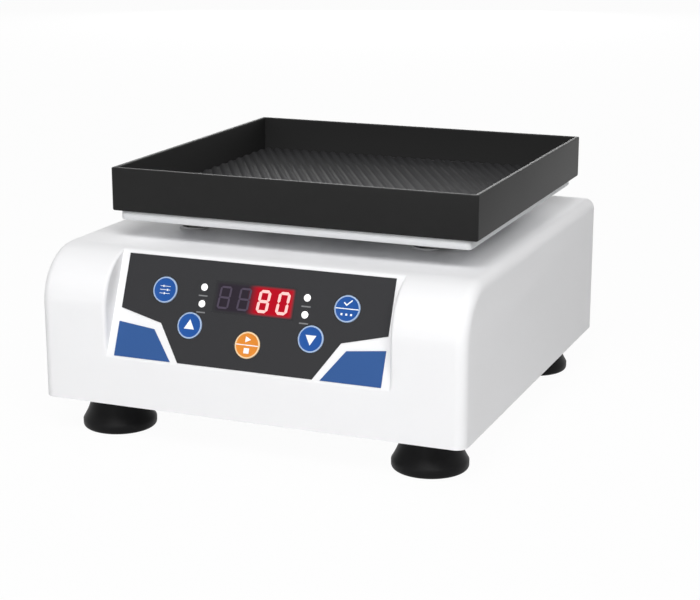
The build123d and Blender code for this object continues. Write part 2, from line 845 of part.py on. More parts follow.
def make_power_board():
    size_x, size_y = power_board_size
    low = base_top + power_board_lift
    top = low + board_thickness
    board = block(size_x, size_y, low, top, power_board_x, power_board_y)
    for sx in (-1, 1):
        for sy in (-1, 1):
            x = power_board_x + sx * (size_x / 2 - board_leg_inset)
            y = power_board_y + sy * (size_y / 2 - board_leg_inset)
            board += cylinder(board_leg_radius, base_top, low, x, y)
    board += block(header_size[0], header_size[1], top, top + header_size[2], header_across, power_header_y)
    for along, radius, height in capacitor_sizes:
        board += cylinder(radius, top, top + height, power_board_x - size_x / 4, power_board_y + along)
    for i in range(fin_count):
        x = power_board_x + i * fin_pitch
        board += block(fin_size[0], fin_size[1], top, top + fin_size[2], x, power_board_y + fin_size[1] / 2)
    return board


def make_transformer():
    """A laminated core with its winding showing on two sides."""
    size_x, size_y, size_z = transformer_size
    core = block(size_x, size_y * transformer_core_share, base_top, base_top + size_z, transformer_x, drive_y)
    middle = base_top + size_z / 2
    winding = Box(size_x * winding_share[0], size_y, size_z * winding_share[1])
    winding = Pos(transformer_x, drive_y, middle) * winding
    return core + fillet(winding.edges().filter_by(Axis.Z), winding_radius)


def make_ribbon_cable():
    """A flat cable from the control board's header, dipping and rising to the power board's."""
    back = -board_behind - board_thickness - header_size[2]
    start = (panel * Pos(header_across, header_up, back)).position
    out = (panel * Pos(header_across, header_up, back - 3 * ribbon_radius)).position
    end_z = base_top + power_board_lift + board_thickness + header_size[2]
    lift = 2 * ribbon_radius
    path = FilletPolyline(
        (header_across, start.Y, start.Z),
        (header_across, out.Y, out.Z),
        (header_across, power_header_y, end_z + lift),
        (header_across, power_header_y, end_z),
        radius=ribbon_radius,
    )
    section = Plane(origin=path @ 0, x_dir=(1, 0, 0), z_dir=path % 0) * Rectangle(ribbon_width, ribbon_thickness)
    return sweep(section, path)


# Rear panel


def rear_plane(x, z, out=0.0):
    """A place on the rear panel's outer face, x across and z up, facing backwards."""
    return Plane(origin=(x, rear - shell_wall + out, z), x_dir=(-1, 0, 0), z_dir=(0, 1, 0))


def rear_block(size_x, size_z, low, high, x, z):
    return rear_plane(x, z, (low + high) / 2) * Box(size_x, size_z, high - low)


def rear_peg(radius, low, high, x, z):
    return rear_plane(x, z, (low + high) / 2) * Cylinder(radius, high - low)


def make_rear_panel():
    lap = 2 * rear_panel_lap
    deep = rear_panel_thickness + over
    size_x, size_z = rear_window_width + 2 * lap, rear_window_height + lap
    plate = rear_block(size_x, size_z, -rear_panel_thickness, 0, rear_window_x, rear_window_z)
    plate -= rear_block(inlet_body[0], inlet_body[1], -deep, deep, inlet_x, rear_window_z)
    plate -= rear_block(switch_body_size[0], switch_body_size[1], -deep, deep, switch_x, rear_window_z)
    plate -= rear_peg(fuse_body_radius, -deep, deep, fuse_x, rear_window_z)
    for x, z in rear_screw_places:
        plate -= rear_peg(small_screw[0] + screw_gap, -deep, deep, x, z)
    return plate


def make_power_inlet():
    """A three-pin appliance inlet: flange, body and a socket with two cut corners."""
    size_x, size_z, flange = inlet_flange
    body = rear_block(size_x, size_z, 0, flange, inlet_x, rear_window_z)
    body += rear_block(inlet_body[0], inlet_body[1], -inlet_body[2], 0, inlet_x, rear_window_z)
    half_x, half_z = inlet_socket[0] / 2, inlet_socket[1] / 2
    outline = Polyline(
        (-half_x, -half_z),
        (half_x, -half_z),
        (half_x, half_z - inlet_chamfer),
        (half_x - inlet_chamfer, half_z),
        (-half_x + inlet_chamfer, half_z),
        (-half_x, half_z - inlet_chamfer),
        close=True,
    )
    depth = inlet_socket[2]
    socket = rear_plane(inlet_x, rear_window_z, flange - depth) * extrude(make_face(outline), depth + over)
    return body - socket


def make_inlet_pins():
    thick, tall, length = pin_blade
    floor = inlet_flange[2] - inlet_socket[2]
    places = [(-pin_spacing, -pin_rise), (pin_spacing, -pin_rise), (0, pin_rise)]
    blades = [rear_block(thick, tall, floor, floor + length, inlet_x + x, rear_window_z + z) for x, z in places]
    return group(blades)


def make_switch_body():
    size_x, size_z, depth = switch_body_size
    body = rear_block(bezel_size[0], bezel_size[1], 0, bezel_size[2], switch_x, rear_window_z)
    body += rear_block(size_x, size_z, -depth, 0, switch_x, rear_window_z)
    hollow = -rocker_depth - 2 * rocker_height
    slot_x, slot_z = rocker_slot
    return body - rear_block(slot_x, slot_z, hollow, bezel_size[2] + over, switch_x, rear_window_z)


def make_rocker():
    """A paddle with a shallow V face, tipped about a pin across the switch."""
    reach = rocker_slot[1] / 2 - 2 * rocker_gap
    arc = hypot(reach, rocker_height)
    outline = Polyline(
        (-reach, 0), (-reach, rocker_height), (0, rocker_height - rocker_dip), (reach, rocker_height), (reach, 0)
    )
    outline += ThreePointArc((reach, 0), (0, -rocker_height), (-reach, 0))
    body = extrude(make_face(outline), rocker_slot[0] / 2 - rocker_gap, both=True)
    centre = (switch_x, rear - shell_wall - rocker_depth, rear_window_z)
    pivot = Plane(origin=centre, x_dir=(0, 0, 1), z_dir=(-1, 0, 0))
    return pivot * Rot(0, 0, rocker_tilt) * body


def make_fuse_holder():
    body = rear_peg(fuse_cap_radius, 0, fuse_cap_height, fuse_x, rear_window_z)
    body += rear_peg(fuse_body_radius, -fuse_body_length, 0, fuse_x, rear_window_z)
    length, width, depth = fuse_slot
    low, high = fuse_cap_height - depth, fuse_cap_height + over
    return body - rear_block(length, width, low, high, fuse_x, rear_window_z)


def make_rear_screws():
    pegs = []
    for x, z in rear_screw_places:
        low, high = -rear_panel_thickness - screw_end, shell_wall - screw_head_height / 2
        pegs.append(rear_peg(small_screw[0], low, high, x, z))
    return group(pegs)


# All the pieces

main_bearings = group(
    [
        bearing(main_bearing, base_top + lower_housing_height - main_bearing[2] - pocket_spare, 0, drive_y),
        bearing(main_bearing, housing_top - main_bearing[2] - pocket_spare, 0, drive_y),
    ]
)
idler_levels = (frame_bottom - idler_housing_drop + pocket_spare, housing_top - idler_bearing[2] - pocket_spare)
base_screw_length = base_thickness + lug_height - lug_screw_spare
frame_screw_length = frame_thickness + 3 * frame_screw[0]
motor_screw_length = bracket_thickness + motor_screw_hold

nodes = {
    "housing_shell": make_housing_shell(),
    "base_plate": make_base_plate(),
    "base_screws": screws(base_screw, z_bottom, base_screw_length, lug_places, up=False),
    "foot_screws": group([make_foot_screw(x, y) for x, y in foot_places]),
    "drive_frame": make_drive_frame(),
    "frame_posts": group([make_frame_post(x, y) for x, y in post_places]),
    "frame_screws": screws(frame_screw, frame_top, frame_screw_length, post_places),
    "lower_bearing_housing": make_lower_housing(),
    "upper_bearing_housing": make_upper_housing(),
    "main_bearings": main_bearings,
    "idler_housings": group([make_idler_housing(x, y) for x, y in idler_places]),
    "idler_bearings": group([bearing(idler_bearing, z, *place) for place in idler_places for z in idler_levels]),
    "crank_shaft": make_crank_shaft(),
    "driven_pulley": make_driven_pulley(),
    "counterweight": make_counterweight(),
    "motor_body": make_motor_body(),
    "motor_bracket": make_motor_bracket(),
    "motor_screws": screws(motor_screw, bracket_top, motor_screw_length, motor_screw_places),
    "motor_shaft": make_motor_shaft(),
    "motor_pulley": make_motor_pulley(),
    "drive_belt": make_drive_belt(),
    "platform_plate": make_platform_plate(),
    "platform_bearings": make_platform_bearings(),
    "tray": make_tray(),
    "tray_mat": make_tray_mat(),
    "tray_screws": make_tray_screws(),
    "panel_film": make_panel_film(),
    "corner_films": make_corner_films(),
    "display_window": make_display_window(),
    "display_module": make_display_module(),
    "indicator_lamps": make_indicator_lamps(),
    "key_switches": make_key_switches(),
    "control_board": make_control_board(),
    "board_screws": make_board_screws(),
    "power_board": make_power_board(),
    "transformer": make_transformer(),
    "ribbon_cable": make_ribbon_cable(),
    "rear_panel": make_rear_panel(),
    "power_inlet": make_power_inlet(),
    "inlet_pins": make_inlet_pins(),
    "switch_body": make_switch_body(),
    "switch_rocker": make_rocker(),
    "fuse_holder": make_fuse_holder(),
    "rear_screws": make_rear_screws(),
}
for name, (x, y) in zip(foot_names, foot_places):
    nodes[name] = make_foot(x, y)
for name, (x, y) in zip(idler_names, idler_places):
    nodes[name] = make_idler_crank(x, y)
for name, (across, up) in keys.items():
    nodes[name] = make_key(across, up)

for name, shape in nodes.items():
    export_step(shape, f"parts/{name}.step")
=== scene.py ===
import bpy
import bmesh
import json
import numpy as np
from math import atan2, cos, pi, radians, sin, tan
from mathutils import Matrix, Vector

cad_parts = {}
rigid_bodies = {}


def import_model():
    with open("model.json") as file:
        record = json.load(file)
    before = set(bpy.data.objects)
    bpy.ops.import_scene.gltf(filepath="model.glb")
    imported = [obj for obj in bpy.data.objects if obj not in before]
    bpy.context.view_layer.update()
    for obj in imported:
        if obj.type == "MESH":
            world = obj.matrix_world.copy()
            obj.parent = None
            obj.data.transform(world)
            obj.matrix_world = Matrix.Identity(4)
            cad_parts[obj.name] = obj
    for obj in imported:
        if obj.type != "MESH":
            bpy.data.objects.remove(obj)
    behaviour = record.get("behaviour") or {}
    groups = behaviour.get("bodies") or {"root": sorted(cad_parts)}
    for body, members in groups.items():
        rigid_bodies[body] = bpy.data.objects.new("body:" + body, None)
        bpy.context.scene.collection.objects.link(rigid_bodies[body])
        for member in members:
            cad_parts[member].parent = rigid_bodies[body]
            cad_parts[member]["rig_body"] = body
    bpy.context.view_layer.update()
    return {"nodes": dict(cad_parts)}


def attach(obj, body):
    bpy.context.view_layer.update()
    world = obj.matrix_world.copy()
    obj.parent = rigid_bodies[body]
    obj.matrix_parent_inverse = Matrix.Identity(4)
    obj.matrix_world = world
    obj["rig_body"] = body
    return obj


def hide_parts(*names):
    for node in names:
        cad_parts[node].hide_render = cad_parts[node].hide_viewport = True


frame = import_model()

# Lengths in this file are millimetres, like the drawing's; meshPiece turns them into metres.


# Meshes from numpy grids

def addObject(name, data):
    thing = bpy.data.objects.new(name, data)
    bpy.context.scene.collection.objects.link(thing)
    return thing


def meshPiece(name, shapes, body, materials, stands=(), sharpAngle=40):
    # shapes: (points, faces, material number); doubles are merged and faces turned outwards
    points, faces, marks, start = [], [], [], 0
    for shapePoints, shapeFaces, mark in shapes:
        shapePoints = np.asarray(shapePoints, float).reshape(-1, 3)
        points.append(shapePoints)
        faces += [[start + int(i) for i in face] for face in shapeFaces]
        marks += [mark] * len(shapeFaces)
        start += len(shapePoints)
    mesh = bpy.data.meshes.new(name)
    mesh.from_pydata((np.vstack(points) * 0.001).tolist(), [], faces)
    for material in materials:
        mesh.materials.append(material)
    mesh.polygons.foreach_set("material_index", np.array(marks, np.int32))
    work = bmesh.new()
    work.from_mesh(mesh)
    bmesh.ops.remove_doubles(work, verts=work.verts, dist=2e-6)
    bmesh.ops.dissolve_degenerate(work, dist=1e-7, edges=work.edges)
    bmesh.ops.recalc_face_normals(work, faces=work.faces)
    work.to_mesh(mesh)
    work.free()
    return placePiece(name, mesh, body, stands, sharpAngle)


def placePiece(name, mesh, body, stands, sharpAngle, bevel=0.0):
    # smooth shading with sharp edges above the angle, and where bevel is given, edges rounded by that much
    mesh.polygons.foreach_set("use_smooth", [True] * len(mesh.polygons))
    mesh.set_sharp_from_angle(angle=radians(sharpAngle))
    piece = addObject(name, mesh)
    if bevel:
        edge = piece.modifiers.new("edge", "BEVEL")
        edge.width = bevel * 0.001
        edge.segments = 2
        edge.limit_method = "ANGLE"
        edge.angle_limit = radians(40)
        edge.harden_normals = True
    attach(piece, body)
    if stands:
        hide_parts(*stands)
    return piece


def gridFaces(rows, columns, closeRows=False, closeColumns=False, keep=None):
    # quad (r, c): r*columns+c, the next in c, the next in both, the next in r
    rowSteps = np.arange(rows if closeRows else rows - 1)
    columnSteps = np.arange(columns if closeColumns else columns - 1)
    r, c = np.meshgrid(rowSteps, columnSteps, indexing="ij")
    nextR, nextC = (r + 1) % rows, (c + 1) % columns
    quads = np.stack([r * columns + c, r * columns + nextC, nextR * columns + nextC, nextR * columns + c], -1)
    return quads[keep] if keep is not None else quads.reshape(-1, 4)


def turned(profile, centre=(0.0, 0.0), count=64, closed=False):
    # profile (r, z) carried round an upright axis: (cx + r cos a, cy + r sin a, z)
    profile = np.asarray(profile, float)
    angle = np.linspace(0, 2 * pi, count, endpoint=False)
    radius, height = profile[:, 0][:, None], profile[:, 1][:, None]
    x, y = centre[0] + radius * np.cos(angle), centre[1] + radius * np.sin(angle)
    points = np.stack([x, y, height + 0 * angle], -1)
    return points.reshape(-1, 3), gridFaces(len(profile), count, closeRows=closed, closeColumns=True), 0


def roundedLoop(halfX, halfY, radius, centre=(0.0, 0.0), cornerSteps=6):
    # corner k at (sx(hx - R), sy(hy - R)) + R(cos a, sin a), a over its own quarter turn
    quarter = np.linspace(0, pi / 2, cornerSteps)
    parts = []
    for k, (sx, sy) in enumerate(((1, 1), (-1, 1), (-1, -1), (1, -1))):
        angle = quarter + k * pi / 2
        x = sx * (halfX - radius) + radius * np.cos(angle)
        y = sy * (halfY - radius) + radius * np.sin(angle)
        parts.append(np.stack([x, y], -1))
    return np.vstack(parts) + np.asarray(centre)


def framed(profile, halfX, halfY, radius, centre):
    # profile (inset d, z) carried round a rounded rectangle, closed by a cap at each end of the profile:
    # the loop shrinks by d, its corners too
    loops = [roundedLoop(halfX - d, halfY - d, max(radius - d, 0.15), centre) for d, _ in profile]
    count = len(loops[0])
    points = np.vstack([np.c_[loop, np.full(count, z)] for loop, (_, z) in zip(loops, profile)])
    faces = gridFaces(len(profile), count, closeColumns=True).tolist()
    faces += [list(range(count)), list(range((len(profile) - 1) * count, len(profile) * count))]
    return points, faces, 0


def prism(outline, low, high, place=None):
    # a flat outline (u, v) raised from low to high, then put in place
    outline = np.asarray(outline, float)
    n = len(outline)
    points = np.vstack([np.c_[outline, np.full(n, low)], np.c_[outline, np.full(n, high)]])
    faces = gridFaces(2, n, closeColumns=True).tolist() + [list(range(n)), list(range(n, 2 * n))]
    return (place(points) if place else points), faces, 0


def arc(centreU, centreV, radius, start, end, steps):
    # (u + R cos a, v + R sin a) for a from start to end degrees
    angle = np.radians(np.linspace(start, end, steps))
    return np.stack([centreU + radius * np.cos(angle), centreV + radius * np.sin(angle)], -1)


def box(left, low, right, high):
    # the four corners of a rectangle
    return [(left, low), (right, low), (right, high), (left, high)]


def cadCopy(nodeName, material, bevel=0.15):
    # the CAD node's own form with merged points, soft shading and a small edge rounding
    node = frame["nodes"][nodeName]
    mesh = node.data.copy()
    work = bmesh.new()
    work.from_mesh(mesh)
    bmesh.ops.remove_doubles(work, verts=work.verts, dist=2e-6)
    bmesh.ops.dissolve_limit(work, angle_limit=radians(0.5), verts=work.verts, edges=work.edges)
    work.to_mesh(mesh)
    work.free()
    mesh.materials.clear()
    mesh.materials.append(material)
    placePiece(nodeName + "Dressed", mesh, node["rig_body"], [nodeName], 30, bevel)


# Shader groups

def newGroup(name, inputs, output, outputKind="NodeSocketFloat"):
    # inputs: each name with its default, a number or a colour
    group = bpy.data.node_groups.new(name, "ShaderNodeTree")
    for socketName, value in inputs.items():
        kind = "NodeSocketFloat" if isinstance(value, float) else "NodeSocketColor"
        socket = group.interface.new_socket(name=socketName, in_out="INPUT", socket_type=kind)
        socket.default_value = value
    group.interface.new_socket(name=output, in_out="OUTPUT", socket_type=outputKind)
    return group, group.nodes.new("NodeGroupInput"), group.nodes.new("NodeGroupOutput")


def addNode(tree, kind, links=None, **settings):
    node = tree.nodes.new(kind)
    for key, value in settings.items():
        setattr(node, key, value)
    for socket, source in (links or {}).items():
        if isinstance(source, bpy.types.NodeSocket):
            tree.links.new(source, node.inputs[socket])
        else:
            node.inputs[socket].default_value = source
    return node


def noise(tree, scale, detail):
    # a cloud of noise in the object's own coordinates
    where = addNode(tree, "ShaderNodeTexCoord")
    links = {"Vector": where.outputs["Object"], "Scale": scale, "Detail": detail}
    return addNode(tree, "ShaderNodeTexNoise", links).outputs["Fac"]


def maths(tree, operation, *values, clamp=False):
    # the result of a Math node; each value is a socket or a number
    return addNode(
        tree, "ShaderNodeMath", dict(enumerate(values)), operation=operation, use_clamp=clamp,
    ).outputs[0]


def fade(tree, value, start, end):
    # smoothly from 0 where value, in metres, is start to 1 where it is end, both in mm
    links = {"Value": value, "From Min": start * 0.001, "From Max": end * 0.001}
    return addNode(tree, "ShaderNodeMapRange", links, interpolation_type="SMOOTHSTEP").outputs[0]


def mixColour(tree, share, first, second):
    # first where share is 0, second where it is 1; each a socket or a plain colour
    return addNode(tree, "ShaderNodeMix", {"Factor": share, 6: first, 7: second}, data_type="RGBA").outputs[2]


def buildToneDrift():
    # colour times 1 + amount (noise - 0.5)
    inputs = {"Colour": (1, 1, 1, 1), "Scale": 30.0, "Amount": 0.1}
    group, inside, outside = newGroup("toneDrift", inputs, "Colour", "NodeSocketColor")
    centred = maths(group, "SUBTRACT", noise(group, inside.outputs["Scale"], 3.0), 0.5)
    swing = maths(group, "MULTIPLY_ADD", centred, inside.outputs["Amount"], 1.0)
    tinted = addNode(group, "ShaderNodeHueSaturation", {"Color": inside.outputs["Colour"], "Value": swing})
    group.links.new(tinted.outputs["Color"], outside.inputs["Colour"])
    return group


def buildRoughDrift():
    # roughness plus amount (noise - 0.5)
    inputs = {"Roughness": 0.4, "Scale": 40.0, "Amount": 0.1}
    group, inside, outside = newGroup("roughDrift", inputs, "Roughness")
    centred = maths(group, "SUBTRACT", noise(group, inside.outputs["Scale"], 5.0), 0.5)
    amount, level = inside.outputs["Amount"], inside.outputs["Roughness"]
    total = maths(group, "MULTIPLY_ADD", centred, amount, level, clamp=True)
    group.links.new(total, outside.inputs["Roughness"])
    return group


def buildSurfaceGrain():
    # moulded or sprayed skin: a fine noise and a coarser one, mixed by Coarse
    group, inside, outside = newGroup("surfaceGrain", {"Scale": 900.0, "Coarse": 0.3}, "Height")
    fine = noise(group, inside.outputs["Scale"], 2.0)
    coarse = noise(group, maths(group, "MULTIPLY", inside.outputs["Scale"], 0.22), 1.0)
    links = {"Factor": inside.outputs["Coarse"], "A": fine, "B": coarse}
    blend = addNode(group, "ShaderNodeMix", links, data_type="FLOAT")
    group.links.new(blend.outputs[0], outside.inputs["Height"])
    return group


def buildEdgeRub():
    # the rubbed colour along convex edges, broken up by noise: handled corners are a little paler
    inputs = {"Colour": (1, 1, 1, 1), "Rubbed": (1, 1, 1, 1), "Amount": 0.3}
    group, inside, outside = newGroup("edgeRub", inputs, "Colour", "NodeSocketColor")
    shape = addNode(group, "ShaderNodeNewGeometry")
    links = {"Value": shape.outputs["Pointiness"], "From Min": 0.515, "From Max": 0.58}
    edge = addNode(group, "ShaderNodeMapRange", links)
    broken = maths(group, "MULTIPLY", edge.outputs[0], noise(group, 160.0, 4.0))
    share = maths(group, "MULTIPLY", broken, inside.outputs["Amount"], clamp=True)
    mixed = mixColour(group, share, inside.outputs["Colour"], inside.outputs["Rubbed"])
    group.links.new(mixed, outside.inputs["Colour"])
    return group


toneDrift, roughDrift = buildToneDrift(), buildRoughDrift()
surfaceGrain, edgeRub = buildSurfaceGrain(), buildEdgeRub()


def ink(red, green, blue):
    # a screen colour 0..255 as the linear colour that shaders take
    value = np.array([red, green, blue]) / 255.0
    linear = np.where(value <= 0.04045, value / 12.92, ((value + 0.055) / 1.055) ** 2.4)
    return (*linear.tolist(), 1.0)


def finish(name, colour, roughness=0.4, metallic=0.0, coat=0.0, drift=(30.0, 0.06), rough=(40.0, 0.08),
           grain=(900.0, 0.3, 0.02), rub=None, specular=0.5, glow=None):
    # drift and rough: scale and amount; grain: scale, share of the coarse noise and height in mm;
    # rub: colour and amount; glow: colour and strength
    material = bpy.data.materials.new(name)
    material.use_nodes = True
    tree = material.node_tree
    shader = tree.nodes["Principled BSDF"]
    plain = {"Metallic": metallic, "Coat Weight": coat, "Coat Roughness": 0.12, "Specular IOR Level": specular}
    if glow:
        plain.update({"Emission Color": glow[0], "Emission Strength": glow[1]})
    for socket, value in plain.items():
        shader.inputs[socket].default_value = value

    def grouped(group, **values):
        return addNode(tree, "ShaderNodeGroup", values, node_tree=group).outputs[0]

    tone = grouped(toneDrift, Colour=colour, Scale=drift[0], Amount=drift[1])
    if rub:
        tone = grouped(edgeRub, Colour=tone, Rubbed=rub[0], Amount=rub[1])
    tree.links.new(tone, shader.inputs["Base Color"])
    gloss = grouped(roughDrift, Roughness=roughness, Scale=rough[0], Amount=rough[1])
    tree.links.new(gloss, shader.inputs["Roughness"])
    if grain:
        height = grouped(surfaceGrain, Scale=grain[0], Coarse=grain[1])
        bump = addNode(tree, "ShaderNodeBump", {"Height": height, "Strength": 1.0, "Distance": grain[2] * 0.001})
        tree.links.new(bump.outputs["Normal"], shader.inputs["Normal"])
    return material


filmGrain = (2600.0, 0.1, 0.006)
coverWhite = finish(
    "coverWhite", (0.86, 0.86, 0.87, 1), 0.55, drift=(14.0, 0.015), grain=(700.0, 0.5, 0.012), specular=0.14,
)
plateWhite = finish(
    "plateWhite", (0.69, 0.70, 0.715, 1), 0.5, drift=(18.0, 0.02), grain=(1100.0, 0.4, 0.015), specular=0.2,
)
trayBlack = finish(
    "trayBlack", (0.010, 0.010, 0.010, 1), 0.5, drift=(26.0, 0.12), rough=(18.0, 0.03),
    grain=(1500.0, 0.35, 0.008), rub=((0.024, 0.024, 0.024, 1), 0.4), specular=0.17,
)
matRubber = finish(
    "matRubber", (0.025, 0.025, 0.026, 1), 0.66, drift=(60.0, 0.2), grain=(1600.0, 0.3, 0.02), specular=0.09,
)
footRubber = finish(
    "footRubber", (0.005, 0.005, 0.0055, 1), 0.45, drift=(40.0, 0.3), grain=(1300.0, 0.5, 0.02),
    rub=((0.02, 0.02, 0.02, 1), 0.4), specular=0.12,
)
filmDark = finish("filmDark", ink(50, 50, 52), 0.5, drift=(20.0, 0.04), grain=filmGrain, specular=0.12)
filmBlue = finish("filmBlue", ink(51, 87, 144), 0.5, drift=(20.0, 0.05), grain=filmGrain, specular=0.12)
keyBlue = finish("keyBlue", ink(34, 82, 154), 0.4, drift=(50.0, 0.06), grain=filmGrain, specular=0.15)
keyOrange = finish("keyOrange", ink(222, 137, 52), 0.4, drift=(50.0, 0.05), grain=filmGrain, specular=0.15)
ringBlue = finish("ringBlue", ink(158, 180, 212), 0.42, drift=(80.0, 0.04), grain=None)
ringOrange = finish("ringOrange", ink(240, 208, 164), 0.42, drift=(80.0, 0.04), grain=None)
inkWhite = finish("inkWhite", ink(245, 247, 250), 0.5, drift=(120.0, 0.04), grain=None)
inkGrey = finish("inkGrey", ink(116, 117, 119), 0.5, drift=(120.0, 0.04), grain=None)
lampWhite = finish(
    "lampWhite", ink(250, 250, 250), 0.25, drift=(200.0, 0.03), grain=None, glow=((1, 1, 1, 1), 0.25),
)
digitLit = finish(
    "digitLit", ink(120, 60, 60), 0.4, drift=(400.0, 0.05), grain=None, glow=((1.0, 0.66, 0.62, 1), 1.0),
    specular=0.1,
)
digitDim = finish("digitDim", ink(77, 69, 84), 0.4, drift=(400.0, 0.1), grain=None, specular=0.1)
screwSteel = finish(
    "screwSteel", (0.62, 0.62, 0.61, 1), 0.3, metallic=1.0, drift=(300.0, 0.1), grain=(2200.0, 0.2, 0.004),
)
baseSteel = finish(
    "baseSteel", (0.60, 0.61, 0.62, 1), 0.45, metallic=0.9, drift=(22.0, 0.12), grain=(1400.0, 0.5, 0.02),
)
shaftSteel = finish(
    "shaftSteel", (0.66, 0.65, 0.63, 1), 0.22, metallic=1.0, drift=(90.0, 0.08), grain=(3000.0, 0.1, 0.004),
)
bearingSteel = finish(
    "bearingSteel", (0.70, 0.70, 0.69, 1), 0.18, metallic=1.0, drift=(120.0, 0.06), grain=(3000.0, 0.1, 0.003),
)
driveAluminium = finish(
    "driveAluminium", (0.72, 0.73, 0.74, 1), 0.35, metallic=1.0, drift=(60.0, 0.08), grain=(1800.0, 0.2, 0.01),
)
weightIron = finish(
    "weightIron", (0.20, 0.20, 0.21, 1), 0.5, metallic=0.8, drift=(70.0, 0.2), grain=(900.0, 0.6, 0.05),
)
motorGrey = finish("motorGrey", (0.12, 0.13, 0.14, 1), 0.45, drift=(40.0, 0.15), grain=(1200.0, 0.5, 0.03))
beltRubber = finish("beltRubber", (0.02, 0.02, 0.02, 1), 0.6, drift=(90.0, 0.3), grain=(1500.0, 0.4, 0.05))
boardGreen = finish(
    "boardGreen", (0.02, 0.14, 0.06, 1), 0.4, coat=0.3, drift=(120.0, 0.2), grain=(1800.0, 0.4, 0.02),
)
switchBlack = finish(
    "switchBlack", (0.015, 0.015, 0.016, 1), 0.38, drift=(80.0, 0.2), grain=(1600.0, 0.3, 0.02),
)
inletBlack = finish("inletBlack", (0.014, 0.014, 0.015, 1), 0.42, drift=(80.0, 0.2), grain=(1400.0, 0.4, 0.03))
pinBrass = finish(
    "pinBrass", (0.72, 0.55, 0.27, 1), 0.28, metallic=1.0, drift=(120.0, 0.08), grain=(2400.0, 0.2, 0.004),
)
rockerRed = finish(
    "rockerRed", (0.50, 0.012, 0.012, 1), 0.3, coat=0.3, drift=(90.0, 0.08), grain=(1800.0, 0.3, 0.01),
)
cableGrey = finish("cableGrey", (0.42, 0.43, 0.45, 1), 0.5, drift=(90.0, 0.1), grain=(900.0, 0.2, 0.05))
displayBlack = finish(
    "displayBlack", (0.02, 0.02, 0.022, 1), 0.35, drift=(90.0, 0.2), grain=(1400.0, 0.3, 0.01),
)
print("finishes:", len(bpy.data.materials))


# Housing cover. Each hole takes a square or rectangle of the grid: keyHole, lampHole, windowHole and screwReach
# are half sizes, driveHole and idlerHole a half size and a radius, screwHole the radius outside and inside.

cover = {
    "width": 275.0, "depth": 288.4, "low": 25.6, "high": 118.6, "wall": 3.0, "edge": 7.0, "cheek": 34.0,
    "facetHalf": 92.0, "tilt": 22.8, "setback": 26.3, "filmMargin": 1.2, "topRounding": 3.0,
    "creaseRounding": 4.0, "lip": 2.6, "keyHole": 8.3, "lampHole": 2.85, "windowHole": (26.4, 9.4),
    "rearX": (30.0, 118.0), "rearZ": (44.0, 80.0), "ventMiddle": -60.0, "ventCount": 10, "ventPitch": 8.0,
    "ventHalf": 1.75, "ventZ": (46.0, 78.0), "screwX": (25.0, 123.0), "screwZ": 62.0, "screwReach": 3.0,
    "screwHole": (2.6, 1.35), "driveY": 10.7, "driveHole": (11.0, 10.7), "idlerX": 80.0,
    "idlerY": (-47.3, 68.7), "idlerHole": (8.6, 8.2),
}
# further lines of the cover's grid: heights or places along each section, and places across the width
gridLines = {
    "front": [30.0, 38.0, 46.0, 52.0],
    "facet": [4.0, 12.0, 20.0, 29.0, 48.5, 57.0, 61.0],
    "top": [-100.0, -85.0, -70.0, -30.0, -15.0, 36.0, 50.0, 90.0, 105.0, 120.0, 130.0],
    "rear": [104.0, 97.0, 90.0, 85.0, 70.0, 36.0],
    "middle": [0.0, 14.0, 20.0, 42.0, 57.0, 62.0, 91.4],
    "sides": [100.0, 106.0, 112.0, -103.0, -110.0, -118.0, -126.0],
}
tilt = radians(cover["tilt"])
frontY, rearY = -cover["depth"] / 2, cover["depth"] / 2
creaseZ = cover["high"] - cover["setback"] / tan(tilt)
ventLow, ventHigh = cover["ventZ"][0] + cover["ventHalf"], cover["ventZ"][1] - cover["ventHalf"]
ventFirst = cover["ventMiddle"] - (cover["ventCount"] - 1) / 2 * cover["ventPitch"]
ventMiddles = [ventFirst + i * cover["ventPitch"] for i in range(cover["ventCount"])]
screwSteps = [k * cover["screwReach"] for k in (-1, -0.5, 0, 0.5, 1)]
panelKeys = {
    "key_set": (-59.4, 43.2), "key_up": (-39.5, 23.3), "key_run": (0.0, 15.5), "key_down": (39.5, 23.3),
    "key_memory": (59.4, 43.2),
}
panelLamps = [(side * 33.6, up) for side in (-1, 1) for up in (47.2, 37.1)]
# among the window's values: the colour of the painted red glow over its lit half, and where that glow fades
# across and up
panelWindow = {
    "halfX": 26.0, "halfUp": 9.4, "up": 42.5, "paintedGlow": (0.50, 0.0, 0.010, 1), "paintedGlowLeft": (-5.0, 3.0),
    "paintedGlowRight": (26.2, 23.5), "paintedGlowUp": (8.7, 6.6), "borderX": (26.4, 22.5), "borderUp": (8.9, 6.4),
}
filmTop = 0.4  # the outer face of the film and the window, out from the facet


def onPanel(points):
    # (across, up, out) on the tilted panel, up from the film's lower edge, to (x, y, z)
    across, up, out = points[:, 0], points[:, 1] + cover["filmMargin"], points[:, 2]
    y, z = frontY + up * sin(tilt) - out * cos(tilt), creaseZ + up * cos(tilt) + out * sin(tilt)
    return np.stack([across, y, z], -1)


